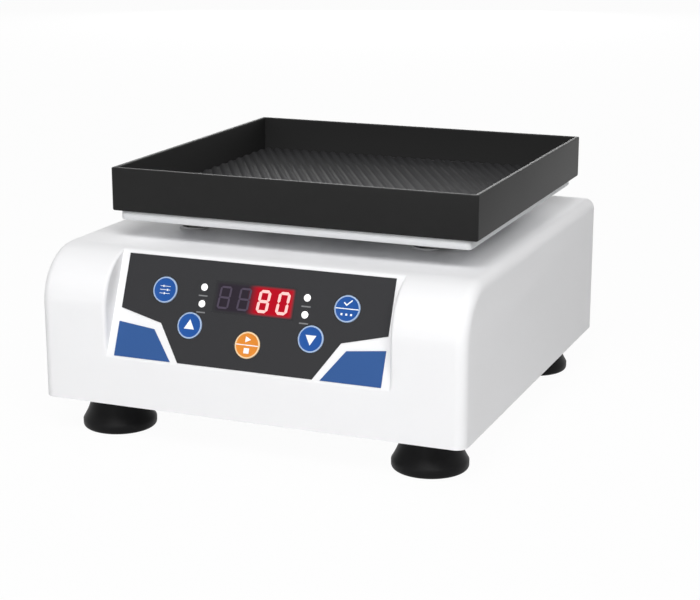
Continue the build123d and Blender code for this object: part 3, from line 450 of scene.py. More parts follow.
def coverRows():
    # each row: cheek point and normal (y, z), facet point and normal, the section's name and its own measure
    size = cover
    arcY, arcZ, big = frontY + size["cheek"], size["high"] - size["cheek"], size["cheek"]
    rows = []

    def cheekAt(z):
        if z <= arcZ:
            return (frontY, z), (-1.0, 0.0)
        a = np.arcsin(min((z - arcZ) / big, 1.0))
        return (arcY - big * cos(a), arcZ + big * sin(a)), (-cos(a), sin(a))

    def both(point, normal, section, value):
        rows.append((point, normal, point, normal, section, value))

    reach = size["creaseRounding"] * tan(tilt / 2)
    for z in [size["low"], *gridLines["front"]]:
        both((frontY, z), (-1.0, 0.0), "front", z)
    for a in np.linspace(0, tilt, 5):
        y = frontY + size["creaseRounding"] * (1 - cos(a))
        z = creaseZ - reach + size["creaseRounding"] * sin(a)
        rows.append((*cheekAt(z), (y, z), (-cos(a), sin(a)), "crease", z))
    # where the facet runs into the cheek's arc
    b = (frontY - arcY) * sin(tilt) + (creaseZ - arcZ) * cos(tilt)
    c = (frontY - arcY) ** 2 + (creaseZ - arcZ) ** 2 - big ** 2
    meet = -b + (b * b - c) ** 0.5
    meetAngle = atan2(creaseZ + meet * cos(tilt) - arcZ, -(frontY + meet * sin(tilt) - arcY))
    turn = (pi / 2 - tilt) - (pi / 2 - meetAngle)
    trim = size["topRounding"] * tan(turn / 2)
    lines = list(gridLines["facet"])
    for _, up in panelKeys.values():
        lines += [up - size["keyHole"], up + size["keyHole"]]
    for _, up in panelLamps:
        lines += [up - size["lampHole"], up + size["lampHole"]]
    lines += [panelWindow["up"] - size["windowHole"][1], panelWindow["up"] + size["windowHole"][1]]
    for up in sorted(set(round(v, 3) for v in lines)) + [meet - trim - size["filmMargin"]]:
        u = up + size["filmMargin"]
        y, z = frontY + u * sin(tilt), creaseZ + u * cos(tilt)
        rows.append((*cheekAt(z), (y, z), (-cos(tilt), sin(tilt)), "facet", up))
    startAngle = np.arcsin((rows[-1][2][1] - arcZ) / big)
    endAngle = meetAngle + trim / big
    centre = np.array(rows[-1][2]) - size["topRounding"] * np.array([-cos(tilt), sin(tilt)])
    for k in np.linspace(0, 1, 7)[1:]:
        a = startAngle + (endAngle - startAngle) * k
        normalAngle = tilt + turn * k
        normal = (-cos(normalAngle), sin(normalAngle))
        point = tuple(centre + size["topRounding"] * np.array(normal))
        cheekPoint = (arcY - big * cos(a), arcZ + big * sin(a))
        rows.append((cheekPoint, (-cos(a), sin(a)), point, normal, "brow", k))
    for a in np.linspace(endAngle, pi / 2, 7)[1:]:
        both((arcY - big * cos(a), arcZ + big * sin(a)), (-cos(a), sin(a)), "arc", a)
    tops = list(gridLines["top"])
    for y in size["idlerY"]:
        tops += [y + k * size["idlerHole"][0] for k in (-1, -0.5, 0, 0.5, 1)]
    tops += [size["driveY"] + k * size["driveHole"][0] for k in (-1, -0.5, 0, 0.5, 1)]
    for y in sorted(tops):
        both((y, size["high"]), (0.0, 1.0), "top", round(y, 3))
    r = size["edge"]
    for a in np.linspace(0, pi / 2, 8):
        both((rearY - r + r * sin(a), size["high"] - r + r * cos(a)), (sin(a), cos(a)), "rearArc", a)
    rears = [*gridLines["rear"], *size["rearZ"], ventHigh, ventLow, size["low"]]
    rears += [size["screwZ"] + k for k in screwSteps]
    for z in sorted(rears, reverse=True):
        both((rearY, z), (1.0, 0.0), "rear", round(z, 3))
    return rows


def coverColumns():
    # x outside, and for each column: x inside, the side rounding's angle, the share of the recess (1 on the
    # facet, 0 on the cheek, none on its lip) and the angle along that lip
    size = cover
    half, edge, wall = size["width"] / 2, size["edge"], size["wall"]
    lines = [*gridLines["middle"], size["windowHole"][0]]
    for across, _ in panelKeys.values():
        lines += [abs(across) - size["keyHole"] if across else size["keyHole"], abs(across) + size["keyHole"]]
    for across, _ in panelLamps:
        lines += [abs(across) - size["lampHole"], abs(across) + size["lampHole"]]
    lines += [k * size["driveHole"][0] for k in (0.5, 1)]
    lines += [size["idlerX"] + k * size["idlerHole"][0] for k in (-1, -0.5, 0, 0.5, 1)]
    inner = sorted(set([round(v, 3) for v in lines] + [-round(v, 3) for v in lines]))
    vents = [x + k * size["ventHalf"] for x in ventMiddles for k in (-1, -0.8, -0.4, 0.4, 0.8, 1)]
    screws = [x + k for x in size["screwX"] for k in screwSteps]
    columns = {}
    for x in [*inner, *vents, *screws, *gridLines["sides"], *size["rearX"]]:
        x = round(x, 3)
        columns[x] = (x, 0.0, 1.0 if abs(x) < size["facetHalf"] else 0.0, None)
    # inside, the recess is wider by its wall, and the lip's columns close up there
    recessInside = size["facetHalf"] + 1.9
    for side in (-1, 1):
        columns[side * (size["facetHalf"] - 0.05)] = (side * recessInside, 0.0, 1.0, None)
        for k, angle in enumerate(np.linspace(0, pi / 2, 7)):
            x = side * (size["facetHalf"] + size["lip"] * 0.85 * (1 - cos(angle)))
            columns[round(x, 4)] = (side * (recessInside + 0.05 + 0.04 * k), 0.0, None, angle)
        for angle in np.linspace(0, pi / 2, 9):
            x = half - edge + edge * sin(angle)
            columns[side * round(x, 4)] = (side * (half - edge + (edge - wall) * sin(angle)), angle, 0.0, None)
    xs = sorted(columns)
    return np.array(xs), [columns[x] for x in xs]


def buildCover():
    size = cover
    rows = coverRows()
    xOut, columns = coverColumns()
    cheek, cheekNormal = np.array([r[0] for r in rows]), np.array([r[1] for r in rows])
    facet, facetNormal = np.array([r[2] for r in rows]), np.array([r[3] for r in rows])
    step = facet - cheek
    deep = np.hypot(step[:, 0], step[:, 1])
    rowCount, columnCount = len(rows), len(columns)

    def skin(inset):
        # point = cheek - normal (inset + R (1 - cos a)) + w (facet - cheek), where w is 1 in the recess and
        # fades over its lip
        points = np.zeros((rowCount, columnCount, 3))
        radius = size["edge"] - inset
        cheekIn, facetIn = cheek - inset * cheekNormal, facet - inset * facetNormal
        move = facetIn - cheekIn
        for c, (xIn, angle, share, lipAngle) in enumerate(columns):
            if lipAngle is None:
                weight = np.full(rowCount, share)
            elif inset:
                weight = np.zeros(rowCount)
            else:
                lip = np.minimum(size["lip"], deep)
                weight = np.where(deep > 1e-6, lip * (1 - sin(lipAngle)) / np.maximum(deep, 1e-6), 0.0)
            line = cheekIn - cheekNormal * (radius * (1 - cos(angle))) + move * weight[:, None]
            points[:, c, 0] = xIn if inset else xOut[c]
            points[:, c, 1:] = line
        return points

    outside, inside = skin(0.0), skin(size["wall"])
    inside[0, :, 2] = inside[-1, :, 2] = size["low"]
    sections, values = [r[4] for r in rows], [r[5] for r in rows]

    def rowOf(section, value):
        return min((i for i in range(rowCount) if sections[i] == section), key=lambda i: abs(values[i] - value))

    def columnOf(x):
        return int(np.argmin(np.abs(xOut - x)))

    # the vents' round ends: z moves by sqrt(r^2 - dx^2) on the end rows
    for middle in ventMiddles:
        inSlot = np.where(np.abs(xOut - middle) <= size["ventHalf"] + 1e-6)[0]
        rise = np.sqrt(np.maximum(size["ventHalf"] ** 2 - (xOut[inSlot] - middle) ** 2, 0))
        for skinPoints in (outside, inside):
            skinPoints[rowOf("rear", ventHigh), inSlot, 2] += rise
            skinPoints[rowOf("rear", ventLow), inSlot, 2] -= rise

    # each hole: first and last row, first and last column, and for a round one its side of the cover, centre,
    # radius outside and radius inside
    holes = []

    def cut(section, start, end, left, right, drill=None):
        holes.append((rowOf(section, start), rowOf(section, end), columnOf(left), columnOf(right), drill))

    reach = size["keyHole"]
    for across, up in panelKeys.values():
        cut("facet", up - reach, up + reach, across - reach, across + reach)
    reach = size["lampHole"]
    for across, up in panelLamps:
        cut("facet", up - reach, up + reach, across - reach, across + reach)
    halfX, halfUp = size["windowHole"]
    cut("facet", panelWindow["up"] - halfUp, panelWindow["up"] + halfUp, -halfX, halfX)
    for middle in ventMiddles:
        cut("rear", ventHigh, ventLow, middle - size["ventHalf"], middle + size["ventHalf"])
    cut("rear", size["rearZ"][1], size["rearZ"][0], *size["rearX"])
    z, reach = size["screwZ"], size["screwReach"]
    for x in size["screwX"]:
        cut("rear", z + reach, z - reach, x - reach, x + reach, ("rear", x, z, *size["screwHole"]))
    shafts = [(0.0, size["driveY"], *size["driveHole"])]
    shafts += [(sx * size["idlerX"], y, *size["idlerHole"]) for sx in (-1, 1) for y in size["idlerY"]]
    for x, y, reach, radius in shafts:
        cut("top", y - reach, y + reach, x - reach, x + reach, ("top", x, y, radius, radius))

    keep = np.ones((rowCount - 1, columnCount - 1), bool)
    for r0, r1, c0, c1, _ in holes:
        keep[r0:r1, c0:c1] = False
    total = rowCount * columnCount
    skinFaces = gridFaces(rowCount, columnCount, keep=keep)
    faces = skinFaces.tolist() + (skinFaces + total).tolist()
    points = [outside.reshape(-1, 3), inside.reshape(-1, 3)]
    start = 2 * total

    def ringFaces(loopA, loopB):
        count = len(loopA)
        return [[loopA[k], loopA[(k + 1) % count], loopB[(k + 1) % count], loopB[k]] for k in range(count)]

    for r0, r1, c0, c1, drill in holes:
        loop = [r0 * columnCount + c for c in range(c0, c1)]
        loop += [r * columnCount + c1 for r in range(r0, r1)]
        loop += [r1 * columnCount + c for c in range(c1, c0, -1)]
        loop += [r * columnCount + c0 for r in range(r1, r0, -1)]
        innerLoop = [i + total for i in loop]
        if drill is None:
            faces += ringFaces(loop, innerLoop)
            continue
        face, a, b, radiusOut, radiusIn = drill
        edges = outside.reshape(-1, 3)[loop]
        other = 2 if face == "rear" else 1
        angle = np.arctan2(edges[:, other] - b, edges[:, 0] - a)
        circles = []
        for radius, level in ((radiusOut, 0.0), (radiusIn, size["wall"])):
            u, v = a + radius * np.cos(angle), b + radius * np.sin(angle)
            flat = np.full(len(loop), (rearY if face == "rear" else size["high"]) - level)
            circles.append(np.stack([u, flat, v] if face == "rear" else [u, v, flat], -1))
        points += circles
        loopOut = list(range(start, start + len(loop)))
        loopIn = list(range(start + len(loop), start + 2 * len(loop)))
        start += 2 * len(loop)
        faces += ringFaces(loop, loopOut) + ringFaces(loopOut, loopIn) + ringFaces(loopIn, innerLoop)

    last = (rowCount - 1) * columnCount
    for c in range(columnCount - 1):
        faces.append([c, c + 1, total + c + 1, total + c])
        faces.append([last + c, last + c + 1, total + last + c + 1, total + last + c])
    for c in (0, columnCount - 1):
        faces.append([r * columnCount + c for r in range(rowCount)])
        faces.append([total + r * columnCount + c for r in range(rowCount)])
        faces.append([c, last + c, total + last + c, total + c])
    return np.vstack(points), faces, 0


# Collars round the shaft holes, screw lugs inside the rim and the board's bosses behind the panel

fittings = {
    "driveBore": 10.0, "idlerBore": 7.5, "collarWall": 2.0, "collar": (-2.9, 0.8), "lugX": 128.2,
    "lugY": (-92.0, 0.0, 92.0), "lugHalf": 6.5, "lugZ": (27.65, 41.6), "bossX": 81.5, "bossUp": (8.5, 55.5),
    "bossRadius": 3.5, "boss": (-11.0, -2.0),
}


def coverFittings():
    size = fittings
    low, high = (cover["high"] + level for level in size["collar"])
    shapes = []
    collars = [(0.0, cover["driveY"], size["driveBore"])]
    collars += [(sx * cover["idlerX"], y, size["idlerBore"]) for sx in (-1, 1) for y in cover["idlerY"]]
    for x, y, bore in collars:
        edge = bore + size["collarWall"]
        ring = [(bore, low), (bore, high - 0.2), (bore + 0.2, high), (edge - 0.3, high), (edge, high - 0.3)]
        shapes.append(turned([*ring, (edge, low)], (x, y), 48, closed=True))
    for side in (-1, 1):
        for y in size["lugY"]:
            block = roundedLoop(size["lugHalf"], size["lugHalf"], 1.2, (side * size["lugX"], y))
            shapes.append(prism(block, *size["lugZ"]))
    for side in (-1, 1):
        for up in size["bossUp"]:
            boss = arc(side * size["bossX"], up, size["bossRadius"], 0, 345, 24)
            shapes.append(prism(boss, *size["boss"], onPanel))
    return shapes


coverPiece = meshPiece("housingCover", [buildCover()] + coverFittings(), "housing", [coverWhite],
                       ["housing_shell"], sharpAngle=38)
print("cover:", len(coverPiece.data.polygons), "faces")


# Feet

foot = {
    "top": 17.3, "rim": 23.3, "height": 25.6, "sides": 104.7, "frontY": -108.2, "rearY": 109.7, "bore": 2.65,
    "neck": 5.0, "skirt": 15.4, "sag": 0.9, "edge": 2.4, "seatRadius": 7.0, "seatDepth": 11.0,
}


def footProfile():
    # a flared bell: short neck, a cone that sags a little towards the axis, a rounded rim, a sunk screw seat
    cone = np.linspace(0, 1, 12)
    coneR = foot["top"] + (foot["rim"] - foot["top"]) * cone - foot["sag"] * np.sin(pi * cone)
    coneZ = foot["height"] - foot["neck"] - foot["skirt"] * cone
    neck = [(foot["bore"], foot["height"]), (foot["top"] - 0.4, foot["height"])]
    neck += [(foot["top"], foot["height"] - 0.4), (foot["top"], foot["height"] - 4.4)]
    rim = arc(foot["rim"] - foot["edge"], foot["edge"], foot["edge"], 0, -90, 7)
    rim[:, 1] = np.maximum(rim[:, 1], 0)
    seat = foot["seatRadius"]
    under = [(seat + 1.0, 0.0), (seat, 0.6), (seat, foot["seatDepth"]), (foot["bore"], foot["seatDepth"])]
    return np.vstack([neck, np.c_[coneR, coneZ], [(foot["rim"], 3.6)], rim, under])


for endName, y in (("front", foot["frontY"]), ("rear", foot["rearY"])):
    for sideName, side in (("left", -1), ("right", 1)):
        nodeName = "foot_" + endName + "_" + sideName
        bell = turned(footProfile(), (side * foot["sides"], y), 72, closed=True)
        meshPiece(nodeName + "_bell", [bell], "housing", [footRubber], [nodeName])
print("feet: 4")


# Tray, mat and platform plate

tray = {
    "x": 10.0, "y": 10.7, "halfX": 119.45, "halfY": 111.9, "low": 137.1, "high": 164.3, "wall": 3.0, "rim": 0.8,
    "corner": 1.5,
}
plate = {
    "y": 9.3, "halfX": 114.75, "halfY": 108.4, "low": 131.2, "high": 137.1, "corner": 3.0, "bossLow": 127.4,
    "driveBoss": 14.0, "idlerBoss": 11.0, "bossWall": 3.0,
}
mat = {
    "halfX": 115.85, "halfY": 108.3, "low": 140.1, "sheet": 1.5, "rib": 0.8, "pitch": 6.35, "angle": 120.0,
    "base": 4.6, "crown": 1.6,
}

low, high, wall, rim = tray["low"], tray["high"], tray["wall"], tray["rim"]
trayProfile = [(1.0, low), (0.3, low + 0.3), (0.0, low + 1.0), (0.0, high - rim)]
trayProfile += [(rim - rim * cos(a), high - rim + rim * sin(a)) for a in np.linspace(0.3, pi / 2, 5)]
trayProfile += [(wall - rim + rim * sin(a), high - rim + rim * cos(a)) for a in np.linspace(0, pi / 2, 6)]
trayProfile += [(wall, low + 4.0), (wall + 0.25, low + 3.3), (wall + 1.0, low + 3.0)]
trayWalls = framed(trayProfile, tray["halfX"], tray["halfY"], tray["corner"], (tray["x"], tray["y"]))
meshPiece("sampleTray", [trayWalls], "platform", [trayBlack], ["tray"], sharpAngle=50)


def matRibs():
    # rib i, profile point j, end k: the line at c = i pitch + offset(j) from the middle, measured across the
    # ribs, and cut where it leaves the mat's rectangle
    along = np.array([cos(radians(mat["angle"])), sin(radians(mat["angle"]))])
    across = np.array([along[1], -along[0]])
    reach = mat["halfX"] * abs(across[0]) + mat["halfY"] * abs(across[1])
    count = int(reach / mat["pitch"])
    hb, hc, rise = mat["base"] / 2, mat["crown"] / 2, mat["rib"]
    half = [(hb, -0.3), (hb, 0.0), (hb - 0.45, 0.16), (hc + 0.3, rise - 0.2), (hc - 0.25, rise - 0.03)]
    profile = np.array([(-c, z) for c, z in half] + [(0.0, rise)] + half[::-1])
    c = (np.arange(-count, count + 1) * mat["pitch"])[:, None] + profile[:, 0]
    ends = np.stack([np.full(c.shape, -1e9), np.full(c.shape, 1e9)])
    for k, side in ((0, mat["halfX"]), (1, mat["halfY"])):
        a, b = (-side - c * across[k]) / along[k], (side - c * across[k]) / along[k]
        ends[0], ends[1] = np.maximum(ends[0], np.minimum(a, b)), np.minimum(ends[1], np.maximum(a, b))
    keep = (ends[1] - ends[0]).min(1) > 1.0
    c, ends = c[keep], ends[:, keep]
    x = tray["x"] + c * across[0] + ends * along[0]
    y = tray["y"] + c * across[1] + ends * along[1]
    z = np.broadcast_to(mat["low"] + mat["sheet"] + profile[:, 1], x.shape)
    points = np.stack([x, y, z], -1).transpose(1, 0, 2, 3)  # rib, end, profile point, xyz
    n, width = points.shape[0], profile.shape[0]
    oneRib = gridFaces(2, width, closeColumns=True)
    faces = (oneRib[None] + (np.arange(n) * 2 * width)[:, None, None]).reshape(-1, 4).tolist()
    faces += [list(range(i * width, (i + 1) * width)) for i in range(2 * n)]
    return points.reshape(-1, 3), faces, 0


low, high = mat["low"], mat["low"] + mat["sheet"]
sheet = framed([(0.4, low), (0.0, low + 0.3), (0.0, high - 0.2), (0.2, high)], mat["halfX"], mat["halfY"], 1.0,
               (tray["x"], tray["y"]))
meshPiece("ribbedMat", [sheet, matRibs()], "platform", [matRubber], ["tray_mat"], sharpAngle=50)

low, high = plate["low"], plate["high"]
plateProfile = [(1.2, low), (0.35, low + 0.25), (0.0, low + 0.9)]
plateProfile += [(0.0, high - 0.9), (0.35, high - 0.25), (1.2, high)]
plateShapes = [framed(plateProfile, plate["halfX"], plate["halfY"], plate["corner"], (tray["x"], plate["y"]))]
bosses = [(tray["x"], tray["y"], plate["driveBoss"])]
bosses += [(sx * cover["idlerX"] + tray["x"], y, plate["idlerBoss"]) for sx in (-1, 1) for y in cover["idlerY"]]
for x, y, inner in bosses:
    outer, end, root = inner + plate["bossWall"], plate["bossLow"], low + 0.6
    boss = [(inner + 0.02, end + 0.25), (inner + 0.3, end), (outer - 0.4, end), (outer, end + 0.4)]
    plateShapes.append(turned([*boss, (outer, root), (inner + 0.02, root)], (x, y), 56, closed=True))
meshPiece("platformSlab", plateShapes, "platform", [plateWhite], ["platform_plate"])
print("platform: plate, tray and mat")


# Keys: "ring" and "face" are the outer and inner radius of the pale ring, "sink" how far the face lies below it

keyShape = {
    "top": 0.6, "radius": 8.05, "ring": 7.8, "face": 7.15, "sink": 0.03, "back": -1.1, "stem": 3.0,
    "stemBack": -6.6, "print": (-0.02, 0.03),
}


def keyMarks(name):
    # plain signs: triangles for up and down, start and stop shapes, a tick over three squares, three sliders
    marks = []
    if name == "key_up":
        marks.append([(-3.4, -2.2), (3.4, -2.2), (0.0, 3.8)])
    if name == "key_down":
        marks.append([(-3.4, 2.2), (0.0, -3.8), (3.4, 2.2)])
    if name in ("key_run", "key_memory"):
        marks.append(box(-7.2, -0.26, 7.2, 0.26))
    if name == "key_run":
        marks += [[(-1.5, 1.6), (2.1, 3.4), (-1.5, 5.2)], box(-1.7, -5.0, 1.7, -1.8)]
    if name == "key_memory":
        marks.append([(-2.6, 3.4), (-0.6, 1.6), (3.0, 4.9), (2.4, 5.4), (-0.6, 2.6), (-2.1, 3.9)])
        marks += [box(x - 0.6, -4.0, x + 0.6, -2.8) for x in (-3.0, 0.0, 3.0)]
    if name == "key_set":
        for y, notch in ((2.2, -1.2), (0.0, 1.6), (-2.2, -0.2)):
            marks += [box(-3.4, y - 0.15, 3.4, y + 0.15), box(notch - 0.4, y - 0.6, notch + 0.4, y + 0.6)]
    return marks


def setOnPanel(shape, across, up, mark=0):
    points, faces, _ = shape
    return onPanel(points + np.array([across, up, 0.0])), faces, mark


def keyShapes(name, across, up):
    size = keyShape
    top, sunk, back = size["top"], size["top"] - size["sink"], size["back"]
    cap = [(0.0, back), (size["ring"], back), (size["radius"], back + 0.2), (size["radius"], top - 0.22)]
    cap += [(size["radius"] - 0.07, top - 0.08), (size["ring"], top)]
    ring = [(size["ring"], top), (size["face"], top)]
    face = [(size["face"], top), (size["face"] - 0.1, sunk), (3.5, sunk), (0.0, sunk)]
    stem = [(0.0, size["stemBack"]), (size["stem"], size["stemBack"]), (size["stem"], -1.0), (0.0, -1.0)]
    shapes = [(turned(cap, count=72), 1), (turned(ring, count=72), 1), (turned(face, count=72), 0)]
    shapes.append((turned(stem, count=32), 0))
    low, high = sunk + size["print"][0], sunk + size["print"][1]
    shapes += [(prism(outline, low, high), 2) for outline in keyMarks(name)]
    return [setOnPanel(shape, across, up, mark) for shape, mark in shapes]


for name, (across, up) in panelKeys.items():
    orange = name == "key_run"
    paint = [keyOrange, ringOrange, inkWhite] if orange else [keyBlue, ringBlue, inkWhite]
    meshPiece(name + "_cap", keyShapes(name, across, up), name + "_button", paint, [name])


# Indicator lamps, each in a dark bezel with a short bar under it in place of a caption

lampShape = {
    "lens": 2.2, "bezel": 2.85, "top": 0.42, "crown": 0.28, "back": -11.0, "barHalf": 2.9, "bar": (-5.6, -4.8),
}
lens, top, back = lampShape["lens"], lampShape["top"], lampShape["back"]
dome = [(0.0, back), (lens, back), (lens, top)]
dome += [(lens * cos(a), top + lampShape["crown"] * sin(a)) for a in np.linspace(0.2, pi / 2, 6)]
bezel = turned(box(lens, 0.1, lampShape["bezel"], top), count=40, closed=True)
bezelShapes = [setOnPanel(bezel, *place) for place in panelLamps]
lampShapes = [setOnPanel(turned(dome, count=40), *place) for place in panelLamps]
barHalf, (barLow, barHigh) = lampShape["barHalf"], lampShape["bar"]
bar = prism(box(-barHalf, barLow, barHalf, barHigh), filmTop - 0.01, filmTop + 0.03)
meshPiece("lampBezels", bezelShapes, "housing", [filmDark])
meshPiece("indicatorDomes", lampShapes, "housing", [lampWhite], ["indicator_lamps"])
meshPiece("lampCaptions", [setOnPanel(bar, *place) for place in panelLamps], "housing", [inkGrey])


# Display window and digits

def windowTintWithPaintedGlow():
    # dark smoked window with a painted glow: over its lit half the window itself glows red and its colour goes
    # nearly black, standing in for the lit digits' light shining through, fading towards the unlit half
    material = finish("windowTintWithPaintedGlow", ink(43, 37, 46), 0.35, drift=(30.0, 0.1), grain=None, specular=0.08)
    tree = material.node_tree
    shader = tree.nodes["Principled BSDF"]
    where = addNode(tree, "ShaderNodeTexCoord")
    axes = addNode(tree, "ShaderNodeSeparateXYZ", {"Vector": where.outputs["Object"]})
    across, size = axes.outputs["X"], panelWindow
    middle = onPanel(np.array([[0.0, size["up"], filmTop]]))[0, 2] * 0.001
    away = maths(tree, "ABSOLUTE", maths(tree, "SUBTRACT", axes.outputs["Z"], float(middle)))
    fromLeft, fromRight = fade(tree, across, *size["paintedGlowLeft"]), fade(tree, across, *size["paintedGlowRight"])
    lit = maths(tree, "MULTIPLY", fromLeft, fromRight)
    lit = maths(tree, "MULTIPLY", lit, fade(tree, away, *size["paintedGlowUp"]))
    paintedGlow = mixColour(tree, lit, (0.0, 0.0, 0.0, 1), size["paintedGlow"])
    tree.links.new(paintedGlow, shader.inputs["Emission Color"])
    shader.inputs["Emission Strength"].default_value = 1.0
    # the tint itself fades into the film's colour at the window's border
    fromSides = fade(tree, maths(tree, "ABSOLUTE", across), *size["borderX"])
    inner = maths(tree, "MULTIPLY", fromSides, fade(tree, away, *size["borderUp"]))
    tint = mixColour(tree, lit, shader.inputs["Base Color"].links[0].from_socket, (0.004, 0.0, 0.002, 1))
    tree.links.new(mixColour(tree, inner, ink(50, 50, 52), tint), shader.inputs["Base Color"])
    return material


slab = roundedLoop(panelWindow["halfX"] + 0.36, panelWindow["halfUp"] + 0.36, 0.2, (0.0, panelWindow["up"]))
pane = prism(slab, -0.8, filmTop, onPanel)
meshPiece("smokedWindow", [pane], "housing", [windowTintWithPaintedGlow()], ["display_window"])

digit = {
    "width": 7.6, "tall": 13.8, "base": 35.4, "lean": 5.0, "gap": 0.08, "dimBar": 1.2, "litBar": 1.75,
    "dim": {-23.2: "abcdefg", -10.3: "abcdefg"}, "lit": {2.4: "abcdefg", 14.95: "abcdef"},
}


def digitShapes(left, bars, proud, thick):
    # seven hexagonal bars for a digit, lettered a to g as usual, leaning by tan(lean)
    half, gap, mid = thick / 2, digit["gap"], digit["tall"] / 2
    low, high, end = half, digit["tall"] - half, digit["width"] - half

    def lying(v):
        u0, u1 = gap + half, end - gap
        above = [(u0, v), (u0 + half, v + half), (u1 - half, v + half)]
        return [*above, (u1, v), (u1 - half, v - half), (u0 + half, v - half)]

    def upright(u, v0, v1):
        v0, v1 = v0 + gap, v1 - gap
        right = [(u, v0), (u + half, v0 + half), (u + half, v1 - half)]
        return [*right, (u, v1), (u - half, v1 - half), (u - half, v0 + half)]

    outlines = {
        "a": lying(high), "g": lying(mid), "d": lying(low),
        "f": upright(half, mid, high), "b": upright(end, mid, high),
        "e": upright(half, low, mid), "c": upright(end, low, mid),
    }
    shapes = []
    for letter, outline in outlines.items():
        if letter in bars:
            u, v = np.array(outline).T
            leaned = np.c_[left + u + (v - mid) * tan(radians(digit["lean"])), digit["base"] + v]
            shapes.append(prism(leaned, filmTop - 0.02, filmTop + proud, onPanel))
    return shapes


def digitPiece(name, digits, proud, thick, material):
    shapes = [shape for left, bars in digits.items() for shape in digitShapes(left, bars, proud, thick)]
    meshPiece(name, shapes, "housing", [material])


digitPiece("unlitDigits", digit["dim"], 0.02, digit["dimBar"], digitDim)
digitPiece("litDigits", digit["lit"], 0.03, digit["litBar"], digitLit)
print("panel: keys, lamps, window and digits")


# Back: panel, inlet, switch, fuse cap and screws

cadCopy("rear_panel", plateWhite, bevel=0.2)
cadCopy("power_inlet", inletBlack, bevel=0.4)
cadCopy("inlet_pins", pinBrass, bevel=0.4)
cadCopy("switch_body", switchBlack, bevel=0.4)
cadCopy("switch_rocker", rockerRed, bevel=0.5)
cadCopy("fuse_holder", inletBlack, bevel=0.3)


def onRear(points):
    # (x, z, out) on the rear panel's outer face, a wall's thickness inside the cover's back, to (x, y, z)
    return np.stack([points[:, 0], rearY - cover["wall"] + points[:, 2], points[:, 1]], -1)


rearScrew = {"shank": 1.2, "head": 2.35, "top": 2.95, "slotLong": 1.5, "slotWide": 0.28, "turn": 0.3}


def screwShapes(x, z):
    # a countersunk head with a cross of two thin dark bars (material 1) laid on it: painted shade in place of a
    # sunk cross recess
    size, top = rearScrew, rearScrew["top"]
    head = [(0.0, -2.0), (size["shank"], -2.0), (size["shank"], 1.3), (size["head"], top - 0.25)]
    points, faces, _ = turned([*head, (size["head"], top), (0.0, top)], count=32)
    shapes = [(onRear(points + np.array([x, z, 0.0])), faces, 0)]
    u, v = np.array(box(-size["slotLong"], -size["slotWide"], size["slotLong"], size["slotWide"])).T
    for a in (size["turn"], size["turn"] + pi / 2):
        paintedRecessShade = np.c_[u * cos(a) - v * sin(a) + x, u * sin(a) + v * cos(a) + z]
        shapes.append((*prism(paintedRecessShade, top - 0.05, top + 0.02, onRear)[:2], 1))
    return shapes


heads = [shape for x in cover["screwX"] for shape in screwShapes(x, cover["screwZ"])]
# the second finish, a dark one, paints the shade of the cross recess on each head
meshPiece("rearScrewHeads", heads, "housing", [screwSteel, displayBlack], ["rear_screws"])


# Underside and drive: the CAD forms with soft edges

cadCopy("base_plate", baseSteel)
cadCopy("platform_bearings", bearingSteel)
for nodeName in ("base_screws", "foot_screws", "tray_screws"):
    cadCopy(nodeName, screwSteel)
for nodeName in ("crank_shaft", "idler_front_left", "idler_front_right", "idler_rear_left", "idler_rear_right"):
    cadCopy(nodeName, shaftSteel)

# the CAD nodes that stay as they are, by finish
keptNodes = (
    (filmDark, ["panel_film"]), (filmBlue, ["corner_films"]),
    (displayBlack, ["display_module"]), (switchBlack, ["key_switches"]),
    (boardGreen, ["control_board", "power_board"]), (cableGrey, ["ribbon_cable"]),
    (screwSteel, ["board_screws", "frame_screws", "motor_screws"]),
    (weightIron, ["transformer", "counterweight"]),
    (baseSteel, ["drive_frame", "motor_bracket"]),
    (driveAluminium, ["frame_posts", "lower_bearing_housing", "upper_bearing_housing", "idler_housings"]),
    (driveAluminium, ["driven_pulley", "motor_pulley"]),
    (bearingSteel, ["main_bearings", "idler_bearings"]),
    (motorGrey, ["motor_body"]), (shaftSteel, ["motor_shaft"]), (beltRubber, ["drive_belt"]),
)
for material, nodeNames in keptNodes:
    for nodeName in nodeNames:
        node = frame["nodes"][nodeName]
        node.data.materials.clear()
        node.data.materials.append(material)
print("back, underside and drive dressed")


# Floor, light and camera

def seenShare(tree):
    # 1 for what the camera, reflections and glass see, 0 for the light that falls on the object
    rays = addNode(tree, "ShaderNodeLightPath").outputs
    either = maths(tree, "MAXIMUM", rays["Is Camera Ray"], rays["Is Glossy Ray"])
    return maths(tree, "MAXIMUM", either, rays["Is Transmission Ray"])


def blendShaders(tree, share, first, second, output):
    blend = addNode(tree, "ShaderNodeMixShader", {"Fac": share, 1: first.outputs[0], 2: second.outputs[0]})
    tree.links.new(blend.outputs[0], tree.nodes[output].inputs["Surface"])


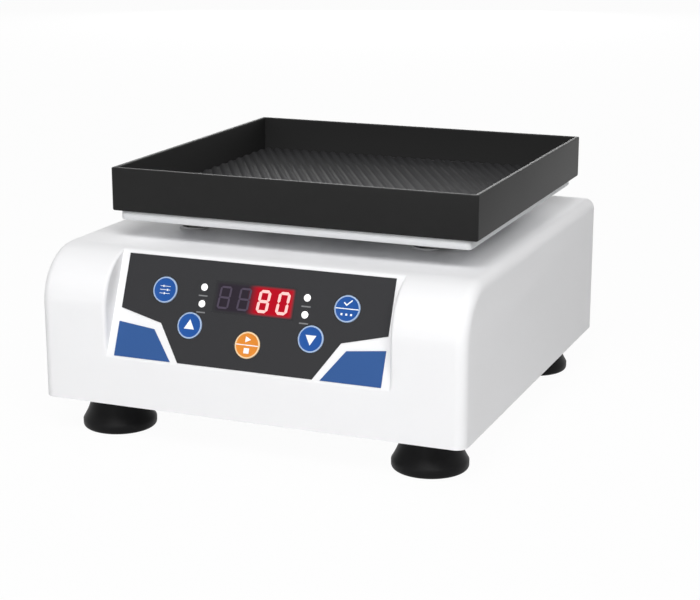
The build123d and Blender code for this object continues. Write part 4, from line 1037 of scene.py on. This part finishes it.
def studioWhite(name, strength):
    # white to the camera and in reflections, plain matt to the light, so the shadow stays
    material = bpy.data.materials.new(name)
    material.use_nodes = True
    tree = material.node_tree
    tree.nodes.remove(tree.nodes["Principled BSDF"])
    matt = addNode(tree, "ShaderNodeBsdfDiffuse", {"Color": (0.82, 0.82, 0.82, 1)})
    glow = addNode(tree, "ShaderNodeEmission", {"Color": (1, 1, 1, 1), "Strength": 1.0})
    blendShaders(tree, maths(tree, "MULTIPLY", seenShare(tree), strength), matt, glow, "Material Output")
    return material


studio = {
    "ambient": 0.24, "floor": 0.96, "floorHalf": 6.0, "aim": (0, 0, 0.08),
    "lamps": {
        "keySoft": {"at": (0.3, -1.7, 2.0), "size": 1.2, "power": 33.0},
        "sideSoft": {"at": (1.4, -1.6, 1.8), "size": 1.2, "power": 22.5},
        "lowFill": {"at": (0.1, -2.6, 0.8), "size": 1.2, "power": 4.5},
        "rearFill": {"at": (-1.0, 2.6, 0.45), "size": 1.2, "power": 20.0},
    },
}
floorMesh = bpy.data.meshes.new("studioFloor")
half = studio["floorHalf"]
floorMesh.from_pydata([(x, y, 0.0) for x, y in box(-half, -half, half, half)], [], [[0, 1, 2, 3]])
floorMesh.materials.append(studioWhite("floorWhite", studio["floor"]))
addObject("studioFloor", floorMesh)

world = bpy.data.worlds.new("studioWorld")
world.use_nodes = True
bpy.context.scene.world = world
tree = world.node_tree
dim = tree.nodes["Background"]
dim.inputs["Color"].default_value = (1, 1, 1, 1)
dim.inputs["Strength"].default_value = studio["ambient"]
bright = addNode(tree, "ShaderNodeBackground", {"Color": (1, 1, 1, 1), "Strength": 1.0})
blendShaders(tree, seenShare(tree), dim, bright, "World Output")

for name, lamp in studio["lamps"].items():
    light = bpy.data.lights.new(name, "AREA")
    light.shape = "DISK"
    light.size = lamp["size"]
    light.energy = lamp["power"]
    holder = addObject(name, light)
    holder.location = lamp["at"]
    holder.rotation_euler = (Vector(studio["aim"]) - Vector(lamp["at"])).to_track_quat("-Z", "Y").to_euler()

view = {"at": (0.42098, -1.01266, 0.35422), "down": 14.75, "turn": 22.12, "lens": 87.92}
lens = bpy.data.cameras.new("photoCamera")
lens.lens = view["lens"]
lens.sensor_width = 36.0
lens.clip_start = 0.01
camera = addObject("photoCamera", lens)
camera.location = view["at"]
camera.rotation_euler = (radians(90 - view["down"]), 0, radians(view["turn"]))
bpy.context.scene.camera = camera
bpy.context.scene.view_settings.view_transform = "Standard"
